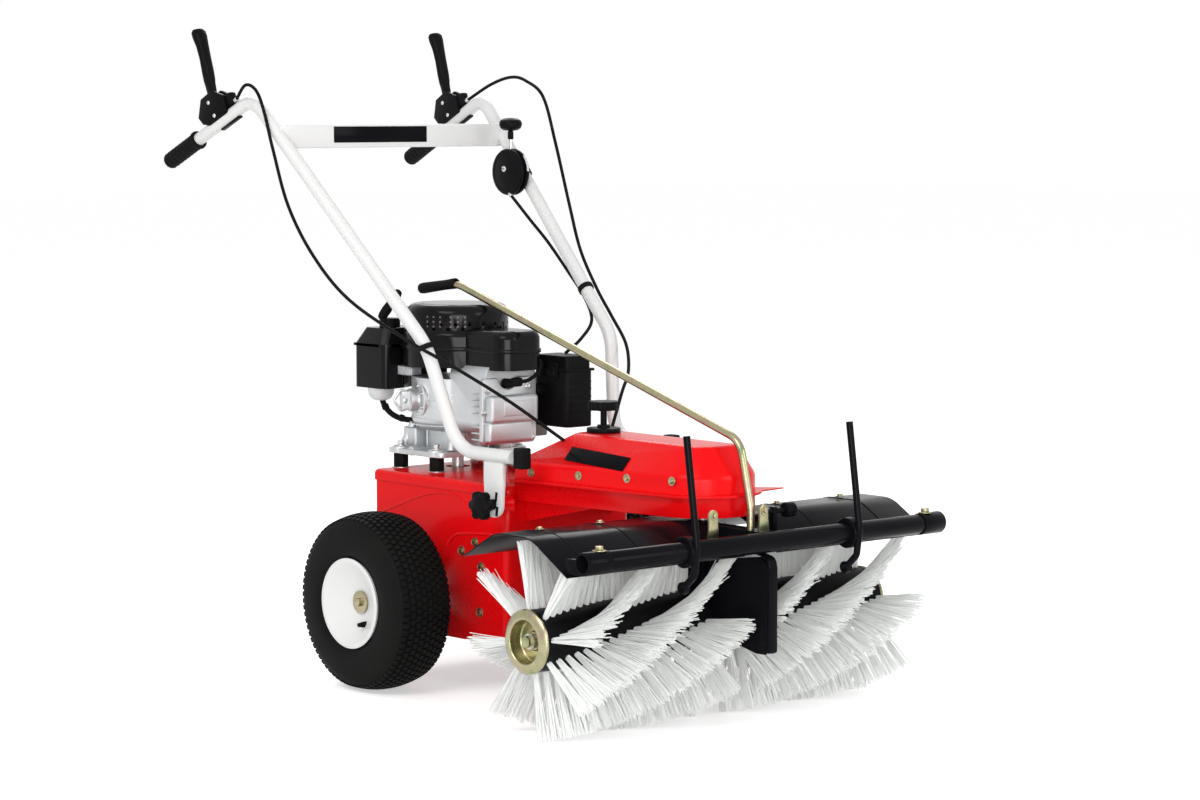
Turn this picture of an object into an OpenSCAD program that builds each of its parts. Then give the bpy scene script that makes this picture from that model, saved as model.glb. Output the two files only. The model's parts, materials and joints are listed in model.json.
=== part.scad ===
// Walk-behind power brush sweeper: a chassis on two tyred wheels carries an engine, a belt
// boom reaches forward to a brush head that swivels on an upright spigot, and a handlebar
// with clutch levers rises behind. Millimetres. X points forward, Y to the machine's left,
// Z up. The origin lies on the ground under the middle of the whole length.

/* [Wheels] */
// outside diameter of a tyre
tyre_d = 330; // [324:1:336]
// width of a tyre
tyre_w = 125; // [120:1:128]
// distance between the middles of the two tyres
track = 560; // [552:1:580]
// rounding of the tyre shoulders
shoulder_r = 30; // [26:1:34]
// rounding of the tyre beside the rim
bead_r = 20; // [19:1:22]
// diameter of the seat the tyre sits on
rim_seat_d = 160; // [156:1:164]
// height of the rim lip over the seat
rim_lip = 8; // [6:0.5:8]
// thickness of the rim metal
rim_sheet = 4; // [3:0.5:5]
// depth of the wheel dish
dish_depth = 30; // [26:1:34]
// diameter of the wheel hub
hub_d = 52; // [48:1:58]
// length of the wheel hub
hub_l = 60; // [50:1:70]
// diameter of the half axles
axle_d = 20; // [18:1:22]
// diameter of the hub washer
hub_cap_d = 42; // [38:1:44]
// thickness of the hub washer
hub_cap_t = 4; // [3:0.5:5]
// diameter of the wheel bolt head
bolt_head_d = 17; // [15:1:19]
// height of the wheel bolt head
bolt_head_h = 8; // [6:0.5:10]

/* [Chassis] */
// reach of the chassis behind the axle
chassis_back = 175; // [170:1:190]
// reach of the chassis ahead of the axle
chassis_front = 223; // [219:1:223]
// width of the chassis
chassis_w = 300; // [294:1:304]
// height of the lower chassis edge over the ground
chassis_low = 90; // [80:1:100]
// height of the deck over the ground
deck_z = 386; // [385:1:388]
// thickness of the chassis sheet
sheet = 3; // [2:0.5:3]
// depth of the folded lip round the deck
lip_h = 20; // [16:1:24]
// rounding of the upright chassis corners
corner_r = 14; // [10:1:18]
// half the width of the belt opening in the front wall
belt_opening = 90; // [80:1:100]
// length of the axle gearbox
gearbox_l = 120; // [110:1:130]
// width of the axle gearbox
gearbox_w = 150; // [140:1:160]
// height of the axle gearbox
gearbox_h = 110; // [100:1:116]
// diameter of the axle tubes on the gearbox
axle_tube_d = 44; // [40:1:48]

/* [Boom] */
// distance from the axle forward to the swivel
swivel_x = 583; // [579:1:590]
// radius of the rounded front end of the boom
boom_r = 94; // [90:1:96]
// width of the boom where it leaves the chassis
boom_back_w = 270; // [262:1:272]
// height of the boom floor over the ground
boom_floor_z = 360; // [359:1:361]
// height of the boom flange over the ground
flange_z = 398; // [396:1:402]
// reach of the pointed flange tab from the swivel
tab_r = 159; // [150:1:165]
// width of the boom flange
flange_w = 12; // [10:1:12]
// thickness of the boom sheet
boom_sheet = 2.5; // [2:0.5:3]
// height of the upright skirt of the belt cover
skirt_h = 30; // [24:1:34]
// rise of the belt cover over its skirt
cover_rise = 52; // [44:1:54]
// width of the flat top of the belt cover
cover_top_w = 90; // [80:1:100]
// where the flat top begins, ahead of the axle
cover_top_back = 286; // [284:1:300]
// where the flat top ends, ahead of the axle
cover_top_front = 640; // [600:1:640]
// length of the gussets under the boom
gusset_l = 195; // [170:1:200]
// depth of the gussets under the boom
gusset_h = 42; // [36:1:48]
// distance of each gusset from the middle
gusset_y = 105; // [96:1:108]
// length of the cover screws out of the skirt
screw_l = 5; // [4:0.5:6]
// head diameter of the cover screws
screw_d = 11; // [9:0.5:13]

/* [Belts and shafts] */
// height of the brush belt over the ground
belt_z = 373; // [372.5:0.25:373.5]
// thickness of a belt across its back
belt_t = 8; // [7:0.5:9]
// height of a belt
belt_h = 10; // [9:0.5:11]
// height of a pulley
pulley_h = 16; // [15:0.5:17]
// diameter of the engine pulleys
engine_pulley_d = 76; // [70:1:80]
// diameter of the brush pulley
brush_pulley_d = 150; // [140:1:156]
// diameter of the axle gearbox pulley
axle_pulley_d = 110; // [100:1:116]
// distance of the axle gearbox pulley ahead of the axle
axle_pulley_x = 30; // [26:1:40]
// diameter of the engine shaft
crank_d = 24; // [22:1:25]
// diameter of the upright brush drive shaft
drive_d = 20; // [18:1:21]
// diameter of the brush shaft
brush_shaft_d = 25; // [23:1:26]
// large radius of the crown gear on the brush shaft
crown_r = 40; // [38:1:41]
// length of the gear faces
gear_face = 12; // [10:0.5:14]

/* [Engine] */
// distance of the engine shaft behind the axle
engine_back = 105; // [100:1:106]
// distance between the rubber mounts along the machine
mount_gap_x = 110; // [104:1:112]
// distance between the rubber mounts across the machine
mount_gap_y = 190; // [184:1:200]
// diameter of a rubber mount
mount_d = 28; // [24:1:30]
// height of a rubber mount
mount_h = 28; // [26:1:30]
// thickness of the engine base
base_t = 10; // [8:1:12]
// diameter of the crankcase
barrel_d = 176; // [168:1:180]
// height of the crankcase
barrel_h = 136; // [130:1:140]
// height of the narrow foot of the crankcase
foot_h = 34; // [30:1:36]
// rounding of the crankcase
case_r = 28; // [24:1:30]
// width of the cylinder block
block_w = 124; // [116:1:126]
// distance from the engine shaft to the head joint
block_l = 160; // [154:1:164]
// height of the cylinder block
block_h = 132; // [124:1:136]
// thickness of the cylinder head
head_t = 31; // [27:1:34]
// height of the cylinder head
head_h = 124; // [118:1:128]
// height of the valve cover on the head
valve_h = 54; // [50:1:58]
// diameter of the oil filler neck
filler_d = 40; // [36:1:44]
// turn of the oil filler toward the rear, in degrees
filler_turn = 21; // [16:1:26]
// reach of the oil filler neck past the crankcase
filler_out = 22; // [18:1:26]
// diameter of the fan shroud
shroud_d = 208; // [200:1:210]
// height of the fan shroud
shroud_h = 45; // [41:1:45]
// reach of the shroud visor ahead of the engine shaft
visor_l = 205; // [196:1:210]
// width of the shroud visor
visor_w = 104; // [98:1:108]
// height of the shroud visor
visor_h = 40; // [36:1:42]
// gap between the crankcase and the shroud
neck_h = 35; // [34:1:36]
// diameter of the recoil starter cowl
cowl_d = 196; // [190:1:198]
// height of the recoil starter cowl
cowl_h = 60; // [57:1:61]
// thickness of the cowl
cowl_t = 3; // [2.5:0.5:3.5]
// rounding of the cowl edge
cowl_edge = 20; // [18:1:22]
// how far the fuel tank reaches in under the shroud
tank_tuck = 30; // [27:1:32]
// length of the fuel tank
tank_l = 100; // [94:1:104]
// width of the fuel tank
tank_w = 170; // [160:1:176]
// height of the fuel tank
tank_h = 115; // [110:1:118]
// height of the lower face of the fuel tank over the ground
tank_z = 535; // [533:1:536]
// distance of the fuel tank to the right of the middle
tank_y = 33; // [28:1:36]
// overhang of the tank rim
tank_rim = 5; // [4:0.5:6]
// diameter of the fuel cap
fuel_cap_d = 40; // [36:1:44]
// height of the fuel cap
fuel_cap_h = 17; // [15:1:19]
// length of the air cleaner
air_l = 100; // [94:1:104]
// width of the air cleaner
air_w = 68; // [64:1:72]
// height of the air cleaner
air_h = 135; // [126:1:138]
// length of the muffler
muffler_l = 50; // [44:1:52]
// clearance of the muffler from the crankcase
muffler_clear = 2.6; // [2:0.2:4]
// width of the muffler
muffler_w = 72; // [66:1:76]
// height of the muffler
muffler_h = 95; // [88:1:100]
// diameter of the starter grip
grip_bar_d = 20; // [18:1:21]
// length of the starter grip
grip_bar_l = 70; // [64:1:74]
// diameter of the starter rope
rope_d = 6; // [5:0.5:7]
// distance of the starter rope to the right of the engine shaft
rope_y = 62; // [58:1:66]
// height of the starter rope above the foot of the cowl
rope_rise = 44; // [43:1:46]
// length of the rope drawn outside the cowl at rest
rope_out = 34; // [30:1:38]
// length of the rope that waits inside the cowl
rope_in = 134; // [124:1:136]

/* [Brush] */
// width over both brush halves
brush_w = 800; // [790:1:806]
// diameter over the bristle tips
brush_d = 344; // [340:1:344]
// diameter of the brush core
core_d = 107; // [104:1:108]
// thickness of the core tube
core_t = 4; // [3:0.5:5]
// gap between the two brush halves
brush_gap = 56; // [55:1:60]
// number of tuft rows round a brush half
tuft_rows = 8; // [8:1:8]
// number of tufts along a row
tufts_in_row = 20; // [19:1:22]
// turn of a row from end to end of a brush half, in degrees
helix_turn = 90; // [45:45:90]
// thickness of the tuft carrier
carrier_t = 6.5; // [6:0.5:8]
// width of a tuft at its tip, along the brush
tuft_tip_w = 15; // [13:0.5:16]
// diameter of the end discs of the brush
disc_d = 112; // [108:1:114]
// depth of the end discs
disc_t = 11; // [9:1:12]

/* [Brush head] */
// outer diameter of the swivel spigot
spigot_d = 32; // [31:0.5:34]
// wall of the swivel collar
collar_t = 6; // [5:0.5:6]
// length of the swivel collar
collar_l = 44; // [40:1:46]
// thickness of the retaining ring under the collar
keeper_t = 4; // [3:0.5:5]
// width of the arm from the collar to the front tube
arm_w = 36; // [32:1:38]
// height of the arm
arm_h = 34; // [30:1:36]
// distance of the front tube ahead of the axle
tube_x = 754; // [752:1:758]
// height of the front tube over the ground
tube_z = 324; // [321:1:327]
// diameter of the front tube
tube_d = 36; // [34:1:37]
// wall of the front tube
tube_t = 3; // [2:0.5:4]
// set-back of each front tube end from the hood end
tube_in = 7; // [5:0.5:9]
// width over both hood halves
hood_w = 870; // [850:1:880]
// gap between the two hood halves
hood_gap = 96; // [90:1:110]
// radius of the hood corners about the brush shaft
hood_r = 188; // [187:0.5:189]
// radius of the hood bends
hood_bend = 70; // [60:1:80]
// thickness of the hood sheet
hood_t = 2.5; // [2:0.5:2.5]
// width of a hood bracket
bracket_w = 24; // [20:1:28]
// thickness of the brush gearbox
leg_w = 48; // [47:1:49]
// radius of the brush gearbox round the brush shaft
leg_r = 48; // [47.5:0.5:49]
// wall of the brush gearbox
leg_t = 4; // [3.5:0.5:4]
// radius of the guard in front of the brush gearbox
guard_r = 152; // [146:1:158]
// thickness of the guard
guard_t = 6; // [4:1:8]
// width of the guard
guard_w = 30; // [24:1:34]
// diameter of the swivel lever
lever_d = 14; // [12:1:14]
// diameter of the swivel lever grip
lever_grip_d = 26; // [23:1:27]
// depth of the swivel lever pin in the arm
pin_depth = 26; // [22:1:28]
// diameter of a hook rod
hook_d = 12.5; // [11:0.5:13]
// height of the top of a hook rod over the ground
hook_top_z = 521; // [505:1:530]
// width of the hook sleeve on the front tube
sleeve_w = 18; // [16:1:22]
// wall of the hook sleeve
sleeve_t = 9; // [8:0.5:10]
// diameter of the hole in the hook eye
eye_d = 11; // [9:0.5:12]
// wall of the hook eye
eye_t = 5; // [4:0.5:5]

/* [Handlebar] */
// diameter of the handlebar tube
bar_d = 25; // [23:1:26]
// distance of each handlebar foot from the middle
foot_y = 190; // [188:1:194]
// thickness of a handlebar foot plate
foot_t = 5; // [4:0.5:6]
// width of a handlebar foot plate
foot_w = 32; // [28:1:36]
// distance of the handlebar pivot ahead of the axle
pivot_x = 238; // [235:1:241]
// height of the handlebar pivot over the ground
pivot_z = 358; // [355:1:361]
// height of the stub of the handlebar over the ground
stub_z = 447; // [443:1:451]
// diameter of the pivot bolts
pivot_bolt_d = 10; // [9:0.5:12]
// diameter of the bosses that carry the handlebar
boss_d = 28; // [26:1:32]
// radius of a star knob
knob_r = 24; // [21:1:26]
// height of a star knob
knob_h = 22; // [19:1:25]
// length of the neck of a star knob
knob_neck = 20; // [17:1:23]
// height of the flat crossbar
crossbar_h = 45; // [40:1:48]
// thickness of the flat crossbar
crossbar_t = 8; // [6:1:10]
// length of a hand grip
grip_l = 105; // [95:1:110]
// diameter of a hand grip
grip_d = 33; // [31:1:36]
// length of a clutch lever from its pivot
clutch_l = 139; // [130:1:144]
// width of a clutch lever
clutch_w = 20; // [17:1:22]
// thickness of a clutch lever
clutch_t = 12; // [10:1:13]
// length of a lever mount along the tube
mount_block_l = 52; // [48:1:56]
// thickness of a lever mount
mount_block_w = 30; // [29:1:32]
// distance of the lever pivot above the tube
lever_rise = 44; // [42:1:46]
// diameter of the lever pivot hole
lever_pin_d = 6; // [5:0.5:7]
// diameter of the throttle housing
throttle_d = 92; // [86:1:96]
// thickness of the throttle housing
throttle_t = 26; // [24:1:28]
// length of the throttle stalk above the housing
throttle_stalk = 48; // [44:1:52]
// diameter of the throttle knob
throttle_knob_d = 46; // [42:1:48]
// height of the throttle knob
throttle_knob_h = 26; // [23:1:28]
// diameter of the control cables
cable_d = 6.4; // [5.5:0.1:7]
// length of the cable ferrules on the lever mounts
ferrule_l = 36; // [30:1:40]
// diameter of the adjuster handwheel
wheel_knob_d = 56; // [50:1:58]
// height of the adjuster handwheel
wheel_knob_h = 16; // [14:1:18]
// diameter of the adjuster spindle
spindle_d = 12; // [10:1:13]
// height of the adjuster base
adjuster_base_h = 14; // [12:1:16]
// height of the handwheel over the base
adjuster_rise = 28; // [24:1:32]

/* [Fits] */
// clearance between pieces that sit side by side
gap = 0.3; // [0.2:0.05:0.4]
// radial clearance of a running shaft
running = 0.05; // [0.03:0.01:0.08]
// overrun of a cut past a face
cut = 1; // [0.5:0.5:2]
// distance from the axle forward to the middle of the whole length
middle_x = 72; // [60:1:80]

/* [Hidden] */
// facets of large and small round shapes
round_fn = 72;
small_fn = 36;
tyre_r = tyre_d / 2;
rim_seat_r = rim_seat_d / 2;
rim_half = tyre_w / 2;
axle_z = tyre_r;
hub_face = rim_half - dish_depth;
engine_x = -engine_back;
engine_z = deck_z + mount_h;
block_top = engine_z + base_t + block_h;
block_step_x = engine_x + block_l / 3;
shroud_z = engine_z + base_t + barrel_h + neck_h;
cowl_z = shroud_z + shroud_h;
filler_y = barrel_d / 2 + filler_out;
boom_back = chassis_front + sheet + 2 * gap;
cover_top_z = flange_z + boom_sheet + skirt_h + cover_rise;
brush_r = brush_d / 2;
brush_z = brush_r;
core_r = core_d / 2;
half_l = (brush_w - brush_gap) / 2;
tube_r = tube_d / 2;
tube_l = hood_w - 2 * tube_in;
spigot_r = spigot_d / 2;
collar_r = spigot_r + collar_t;
keeper_z = boom_floor_z - collar_l - 4 * keeper_t;
collar_z = keeper_z + keeper_t + gap;
arm_z = collar_z + keeper_t;
lever_x = swivel_x + boom_r + flange_w + lever_d + keeper_t;
// height of the valve cover as a share of the head
valve_rise_share = 0.54;
// height of the oil filler as a share of the block
filler_rise_share = 0.71;
// height of the seam between the halves of the fuel tank and of the air cleaner
tank_seam_share = 0.7;
air_seam_share = 0.8;
// direction and half spread of the flange tab, seen from the swivel
tab_turn = 70;
tab_spread = 24;
// place of each hook rod as a share of the hood width
hook_share = 13 / 58;
hook_y = hook_share * hood_w;
// angles of the hood corners about the brush shaft
hood_turns = [134, 104, 76, 42];
// where the gear guard starts and how far it sweeps about the brush shaft
guard_start = -20;
guard_sweep = 86;
// turn of a clutch lever from the grip direction
clutch_turn = 97;
// gear tooth counts that set the cone angles
pinion_teeth = 13;
crown_teeth = 33;
crown_y = crown_r * pinion_teeth / crown_teeth;
// angle that a tuft covers at its foot and at its tip
tuft_foot_turn = 11;
tuft_tip_turn = 7;
// share of the tuft pitch that the foot of a tuft covers
tuft_foot_share = 0.62;
// places of the cover screws as shares of the boom length
screw_shares = [0.1, 0.38, 0.64, 0.9];

// route of the right handlebar tube; the left one is its mirror
bar_route = [[291, -foot_y, stub_z], [134, -foot_y, stub_z], [85, -225, 638],
             [-372, -282, 1089], [-624, -298, 970]];
bar_bends = [60, 110, 48];
// places on the tube as shares: lever mount on the grip run, crossbar and throttle on the leg
mount_share = 0.4;
crossbar_share = 0.84;
throttle_share = 0.68;
// two points on the grip line set the direction of the grip and of the lever mount
grip_end = bar_route[4];
grip_top = bar_route[3];
grip_way = (grip_end - grip_top) / norm(grip_end - grip_top);
mount_point = grip_top + grip_way * mount_share * norm(grip_end - grip_top);
grip_tilt = atan2(grip_way[2], norm([grip_way[0], grip_way[1]]));
grip_yaw = atan2(grip_way[1], grip_way[0]);
grip_up = [-sin(grip_tilt) * cos(grip_yaw), -sin(grip_tilt) * sin(grip_yaw), cos(grip_tilt)];
ferrule_rise = bar_d * 0.8;
cable_start = mount_point - grip_way * (mount_block_l / 2 + ferrule_l + gap) + grip_up * ferrule_rise;
leg_way = (bar_route[3] - bar_route[2]) / norm(bar_route[3] - bar_route[2]);
crossbar_point = bar_route[2] + leg_way * crossbar_share * norm(bar_route[3] - bar_route[2]);
throttle_point = bar_route[2] + leg_way * throttle_share * norm(bar_route[3] - bar_route[2]);
// routes of the three control cables
right_cable = [cable_start, [-384, -292, 1114], [-350, -292, 1105], [-325, -292, 1068],
               [-297, -290, 990], [-261, -282, 886], [-199, -270, 794], [-100, -262, 716],
               [57, -251, 650], [151, -222, 607], [234, -150, 541], [296, -74, 470]];
left_cable = [[cable_start[0], -cable_start[1], cable_start[2]], [-357, 292, 1118],
              [-291, 290, 1132], [-242, 288, 1124], [-185, 284, 1084], [-135, 278, 1006],
              [-82, 270, 899], [-8, 262, 775],
              [89, 245, 664], [168, 205, 590], [210, 150, 551], [262, 66, 468]];
throttle_cable = [[-215, 226, 898.4], [-186, 222, 862], [-100, 222, 780], [0, 210, 700],
                  [60, 170, 650], [74, 120, 607.8]];
// route of the swivel lever from its grip to its pin
lever_route = [[-205, 0, 731], [-107, 0, 744], [687, 0, 492.4], [lever_x, 0, 380],
               [lever_x, 0, arm_z + arm_h - pin_depth]];
lever_bends = [120, 45, 45];
// route of a hook rod in its own upright plane, X from the front tube
hook_route = [[0, 0, hook_top_z], [27, 0, 332], [20, 0, 286], [-6, 0, 262]];
hook_bends = [40, 14];

// unit vector along v
function unit(v) = v / norm(v);
// points of an arc of radius r that rounds the corner b between a and c
function bend_points(a, b, c, r, steps) =
    let (u = unit(a - b), w = unit(c - b), half = acos(u * w) / 2,
         middle = b + unit(u + w) * r / sin(half),
         start = b + u * r / tan(half) - middle,
         stop = b + w * r / tan(half) - middle,
         turn = 180 - 2 * half)
    [for (i = [0 : steps])
        middle + (sin((1 - i / steps) * turn) * start + sin(i / steps * turn) * stop) / sin(turn)];
// a route with every inner corner rounded
function smooth_route(route, radii, steps) =
    [route[0],
     for (i = [1 : len(route) - 2])
         each bend_points(route[i - 1], route[i], route[i + 1], radii[i - 1], steps),
     route[len(route) - 1]];
// direction of a route at each of its points
function ways(route) =
    [for (i = [0 : len(route) - 1])
        unit(route[min(i + 1, len(route) - 1)] - route[max(i - 1, 0)])];
// a side direction at each point, carried along the route without twist
function sides_along(way, side, i = 0) =
    i == len(way) ? [] :
    let (next = unit(side - (side * way[i]) * way[i]))
    concat([next], sides_along(way, next, i + 1));

// round bar swept along a route
module swept_bar(route, d, facets) {
    way = ways(route);
    side = sides_along(way, abs(way[0][1]) < 0.9 ? [0, 1, 0] : [0, 0, 1]);
    last = len(route) - 1;
    polyhedron(
        points = [for (i = [0 : last]) for (k = [0 : facets - 1])
            route[i] + d / 2 * (cos(360 * k / facets) * side[i]
                                + sin(360 * k / facets) * cross(way[i], side[i]))],
        faces = [[for (k = [0 : facets - 1]) k],
                 [for (k = [facets - 1 : -1 : 0]) last * facets + k],
                 for (i = [0 : last - 1]) for (k = [0 : facets - 1])
                     let (a = i * facets + k, b = i * facets + (k + 1) % facets)
                     each [[a, a + facets, b], [b, a + facets, b + facets]]],
        convexity = 6);
}

// move from the axle to the shared origin
module placed() translate([-middle_x, 0, 0]) children();
// both mirror halves of a piece drawn on the right
module both_sides() {
    children();
    mirror([0, 1, 0]) children();
}
// box between two corners
module box(low, high) translate(low) cube(high - low);
// round bar across the machine from y0 to y1
module bar_across(d, y0, y1, fn = small_fn)
    translate([0, y0, 0]) rotate([-90, 0, 0]) cylinder(h = y1 - y0, d = d, $fn = fn);
// flat outline with rounded corners, centred
module soft_rect(l, w, r) {
    square([l - 2 * r, w], center = true);
    square([l, w - 2 * r], center = true);
    for (x = [-1, 1]) for (y = [-1, 1])
        translate([x * (l / 2 - r), y * (w / 2 - r)]) circle(r = r, $fn = small_fn);
}
// local Z turned to point out of the machine on one side: -1 right, 1 left
module outward(side) rotate([side < 0 ? 90 : -90, 0, 0]) children();
// frame of a wheel with local Z pointing outward
module at_wheel(side) translate([0, side * track / 2, axle_z]) outward(side) children();
// frame of the brush shaft with local Z along +Y
module at_brush() translate([swivel_x, 0, brush_z]) rotate([-90, 0, 0]) children();

module tyre(side) {
    depth = tyre_r - rim_seat_r;
    color("#1b1b1c") at_wheel(side)
        rotate_extrude($fn = round_fn) translate([rim_seat_r, -tyre_w / 2]) {
            translate([bead_r, 0]) square([depth - bead_r - shoulder_r, tyre_w]);
            translate([0, bead_r]) square([depth / 2, tyre_w - 2 * bead_r]);
            translate([depth / 2, shoulder_r]) square([depth / 2, tyre_w - 2 * shoulder_r]);
            for (y = [bead_r, tyre_w - bead_r])
                translate([bead_r, y]) circle(r = bead_r, $fn = small_fn);
            for (y = [shoulder_r, tyre_w - shoulder_r])
                translate([depth - shoulder_r, y]) circle(r = shoulder_r, $fn = small_fn);
        }
}

module rim(side) {
    seat = rim_seat_r - gap;
    lip_t = rim_sheet * 0.8;
    color("#efeee8") at_wheel(side) difference() {
        union() {
            rotate_extrude($fn = round_fn) polygon([
                [seat - rim_sheet, -rim_half], [seat + rim_lip - rim_sheet, -rim_half],
                [seat + rim_lip - rim_sheet, lip_t - rim_half], [seat, lip_t - rim_half],
                [seat, rim_half - lip_t], [seat + rim_lip - rim_sheet, rim_half - lip_t],
                [seat + rim_lip - rim_sheet, rim_half], [seat - rim_sheet, rim_half],
                [hub_d / 2 - cut, hub_face], [hub_d / 2 - cut, hub_face - rim_sheet],
                [seat - rim_sheet, rim_half - 2 * rim_sheet]]);
            translate([0, 0, hub_face - hub_l]) cylinder(h = hub_l, d = hub_d, $fn = small_fn);
        }
        translate([0, 0, hub_face - hub_l - cut])
            cylinder(h = hub_l + 2 * cut, d = axle_d + 2 * running, $fn = small_fn);
    }
}

module hub_cap(side)
    color("#c9b571") at_wheel(side) translate([0, 0, hub_face + gap]) {
        cylinder(h = hub_cap_t, d = hub_cap_d, $fn = small_fn);
        cylinder(h = hub_cap_t + bolt_head_h, d = bolt_head_d, $fn = 6);
    }

module half_axle(side)
    color("#8d9092") at_wheel(side)
        translate([0, 0, -(track - gearbox_w) / 2 - gearbox_w / 4])
            cylinder(h = (track - gearbox_w) / 2 + gearbox_w / 4 + hub_face,
                     d = axle_d, $fn = small_fn);

module chassis_body() {
    length = chassis_back + chassis_front;
    height = deck_z - sheet - gap - chassis_low;
    color("#d3131b") difference() {
        translate([(chassis_front - chassis_back) / 2, 0, chassis_low])
            linear_extrude(height) difference() {
                soft_rect(length, chassis_w, corner_r);
                soft_rect(length - 2 * sheet, chassis_w - 2 * sheet, corner_r - sheet);
            }
        translate([0, 0, axle_z])
            bar_across(axle_tube_d - 2 * sheet, -chassis_w / 2 - cut, chassis_w / 2 + cut);
        box([chassis_front - sheet - cut, -belt_opening, boom_floor_z],
            [chassis_front + cut, belt_opening, deck_z]);
    }
}

module deck_lid() {
    grow = 2 * (gap + sheet);
    length = chassis_back + chassis_front;
    color("#d8141c") difference() {
        translate([(chassis_front - chassis_back) / 2, 0, deck_z - lip_h])
            difference() {
                linear_extrude(lip_h) soft_rect(length + grow, chassis_w + grow, corner_r + sheet);
                translate([0, 0, -sheet]) linear_extrude(lip_h)
                    soft_rect(length + 2 * gap, chassis_w + 2 * gap, corner_r + gap);
            }
        translate([engine_x, 0, deck_z - lip_h])
            cylinder(h = lip_h + cut, d = 2 * crank_d, $fn = small_fn);
        box([chassis_front, -belt_opening, deck_z - lip_h - cut],
            [chassis_front + 2 * sheet + cut, belt_opening, deck_z - sheet]);
    }
}

module axle_gearbox() {
    flange_d = axle_tube_d + 8 * sheet;
    color("#8c8f92") translate([0, 0, axle_z]) difference() {
        union() {
            box([-gearbox_l / 2, -gearbox_w / 2, -gearbox_h / 2],
                [gearbox_l / 2, gearbox_w / 2, gearbox_h / 2]);
            bar_across(axle_tube_d, -chassis_w / 2 + sheet, chassis_w / 2 - sheet);
            for (y = [-chassis_w / 2 + sheet, chassis_w / 2 - 2 * sheet])
                bar_across(flange_d, y, y + sheet);
        }
        bar_across(axle_d + 2 * running, -chassis_w, chassis_w);
        translate([axle_pulley_x, 0, gearbox_h / 4])
            cylinder(h = gearbox_h, d = drive_d + 2 * running, $fn = small_fn);
    }
}

// direction from the swivel to where the straight left side of the boom meets its round end
function boom_turn(grow) =
    let (l = swivel_x - boom_back, w = boom_back_w / 2 + grow)
    atan2(w, -l) - acos((boom_r + grow) / norm([l, w]));

// plan of the boom, wider all round by grow and longer by back at its rear end
module boom_plan(grow, back = 0) {
    r = boom_r + grow;
    turn = boom_turn(grow);
    corner = [boom_back - swivel_x, boom_back_w / 2 + grow];
    tip = r * [cos(turn), sin(turn)];
    rear = tip + (corner - tip) * (1 + back / norm(corner - tip));
    translate([swivel_x, 0])
        polygon([[rear[0], -rear[1]],
                 for (i = [-small_fn / 2 : small_fn / 2])
                     r * [cos(2 * turn * i / small_fn), sin(2 * turn * i / small_fn)],
                 rear]);
}

module boom_trough() {
    depth = flange_z - boom_floor_z;
    tongue = boom_back - chassis_front + sheet;
    color("#d3131b") difference() {
        union() {
            translate([0, 0, boom_floor_z]) linear_extrude(depth) boom_plan(0);
            translate([0, 0, flange_z - boom_sheet]) linear_extrude(boom_sheet) boom_plan(flange_w);
            translate([swivel_x, 0, flange_z - boom_sheet]) linear_extrude(boom_sheet)
                polygon([(boom_r + boom_sheet) * [cos(tab_turn - tab_spread), sin(tab_turn - tab_spread)],
                         tab_r * [cos(tab_turn), sin(tab_turn)],
                         (boom_r + boom_sheet) * [cos(tab_turn + tab_spread), sin(tab_turn + tab_spread)]]);
            box([chassis_front, -gusset_y, boom_floor_z],
                [chassis_front + tongue, gusset_y, boom_floor_z + boom_sheet]);
            both_sides() translate([chassis_front, gusset_y, 0]) rotate([90, 0, 0])
                linear_extrude(sheet) polygon([[0, boom_floor_z - gusset_h], [gusset_l, boom_floor_z],
                    [gusset_l, boom_floor_z + boom_sheet / 2], [0, boom_floor_z + boom_sheet / 2]]);
        }
        translate([0, 0, boom_floor_z + boom_sheet]) linear_extrude(depth)
            boom_plan(-boom_sheet, 2 * tongue);
        translate([swivel_x, 0, boom_floor_z - cut])
            cylinder(h = depth, r = spigot_r + gap, $fn = small_fn);
    }
}

// filled shape of the belt cover, smaller all round by shrink
module cover_shape(shrink) {
    start = shrink > 0 ? flange_z - cut : flange_z;
    shoulder = flange_z + boom_sheet + skirt_h - shrink;
    translate([0, 0, start]) linear_extrude(shoulder - start) boom_plan(-shrink, -shrink);
    hull() {
        translate([0, 0, shoulder - boom_sheet]) linear_extrude(boom_sheet) boom_plan(-shrink, -shrink);
        translate([(cover_top_back + cover_top_front) / 2, 0, shoulder + cover_rise - boom_sheet])
            linear_extrude(boom_sheet)
                soft_rect(cover_top_front - cover_top_back - 2 * shrink,
                          cover_top_w - 2 * shrink, cover_top_w / 4);
    }
}

module belt_cover()
    color("#d8141c") difference() {
        union() {
            translate([0, 0, flange_z]) linear_extrude(boom_sheet) boom_plan(flange_w);
            cover_shape(0);
        }
        cover_shape(boom_sheet);
    }

module cover_screws() {
    turn = boom_turn(0);
    back = [boom_back - swivel_x, boom_back_w / 2];
    front = boom_r * [cos(turn), sin(turn)];
    color("#cfc08a") both_sides() for (share = screw_shares)
        translate([swivel_x, 0, flange_z + boom_sheet + skirt_h / 2])
            translate((1 - share) * back + share * front)
                rotate([0, 0, turn]) rotate([0, 90, 0]) translate([0, 0, gap])
                    cylinder(h = screw_l, d = screw_d, $fn = small_fn);
}

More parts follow.
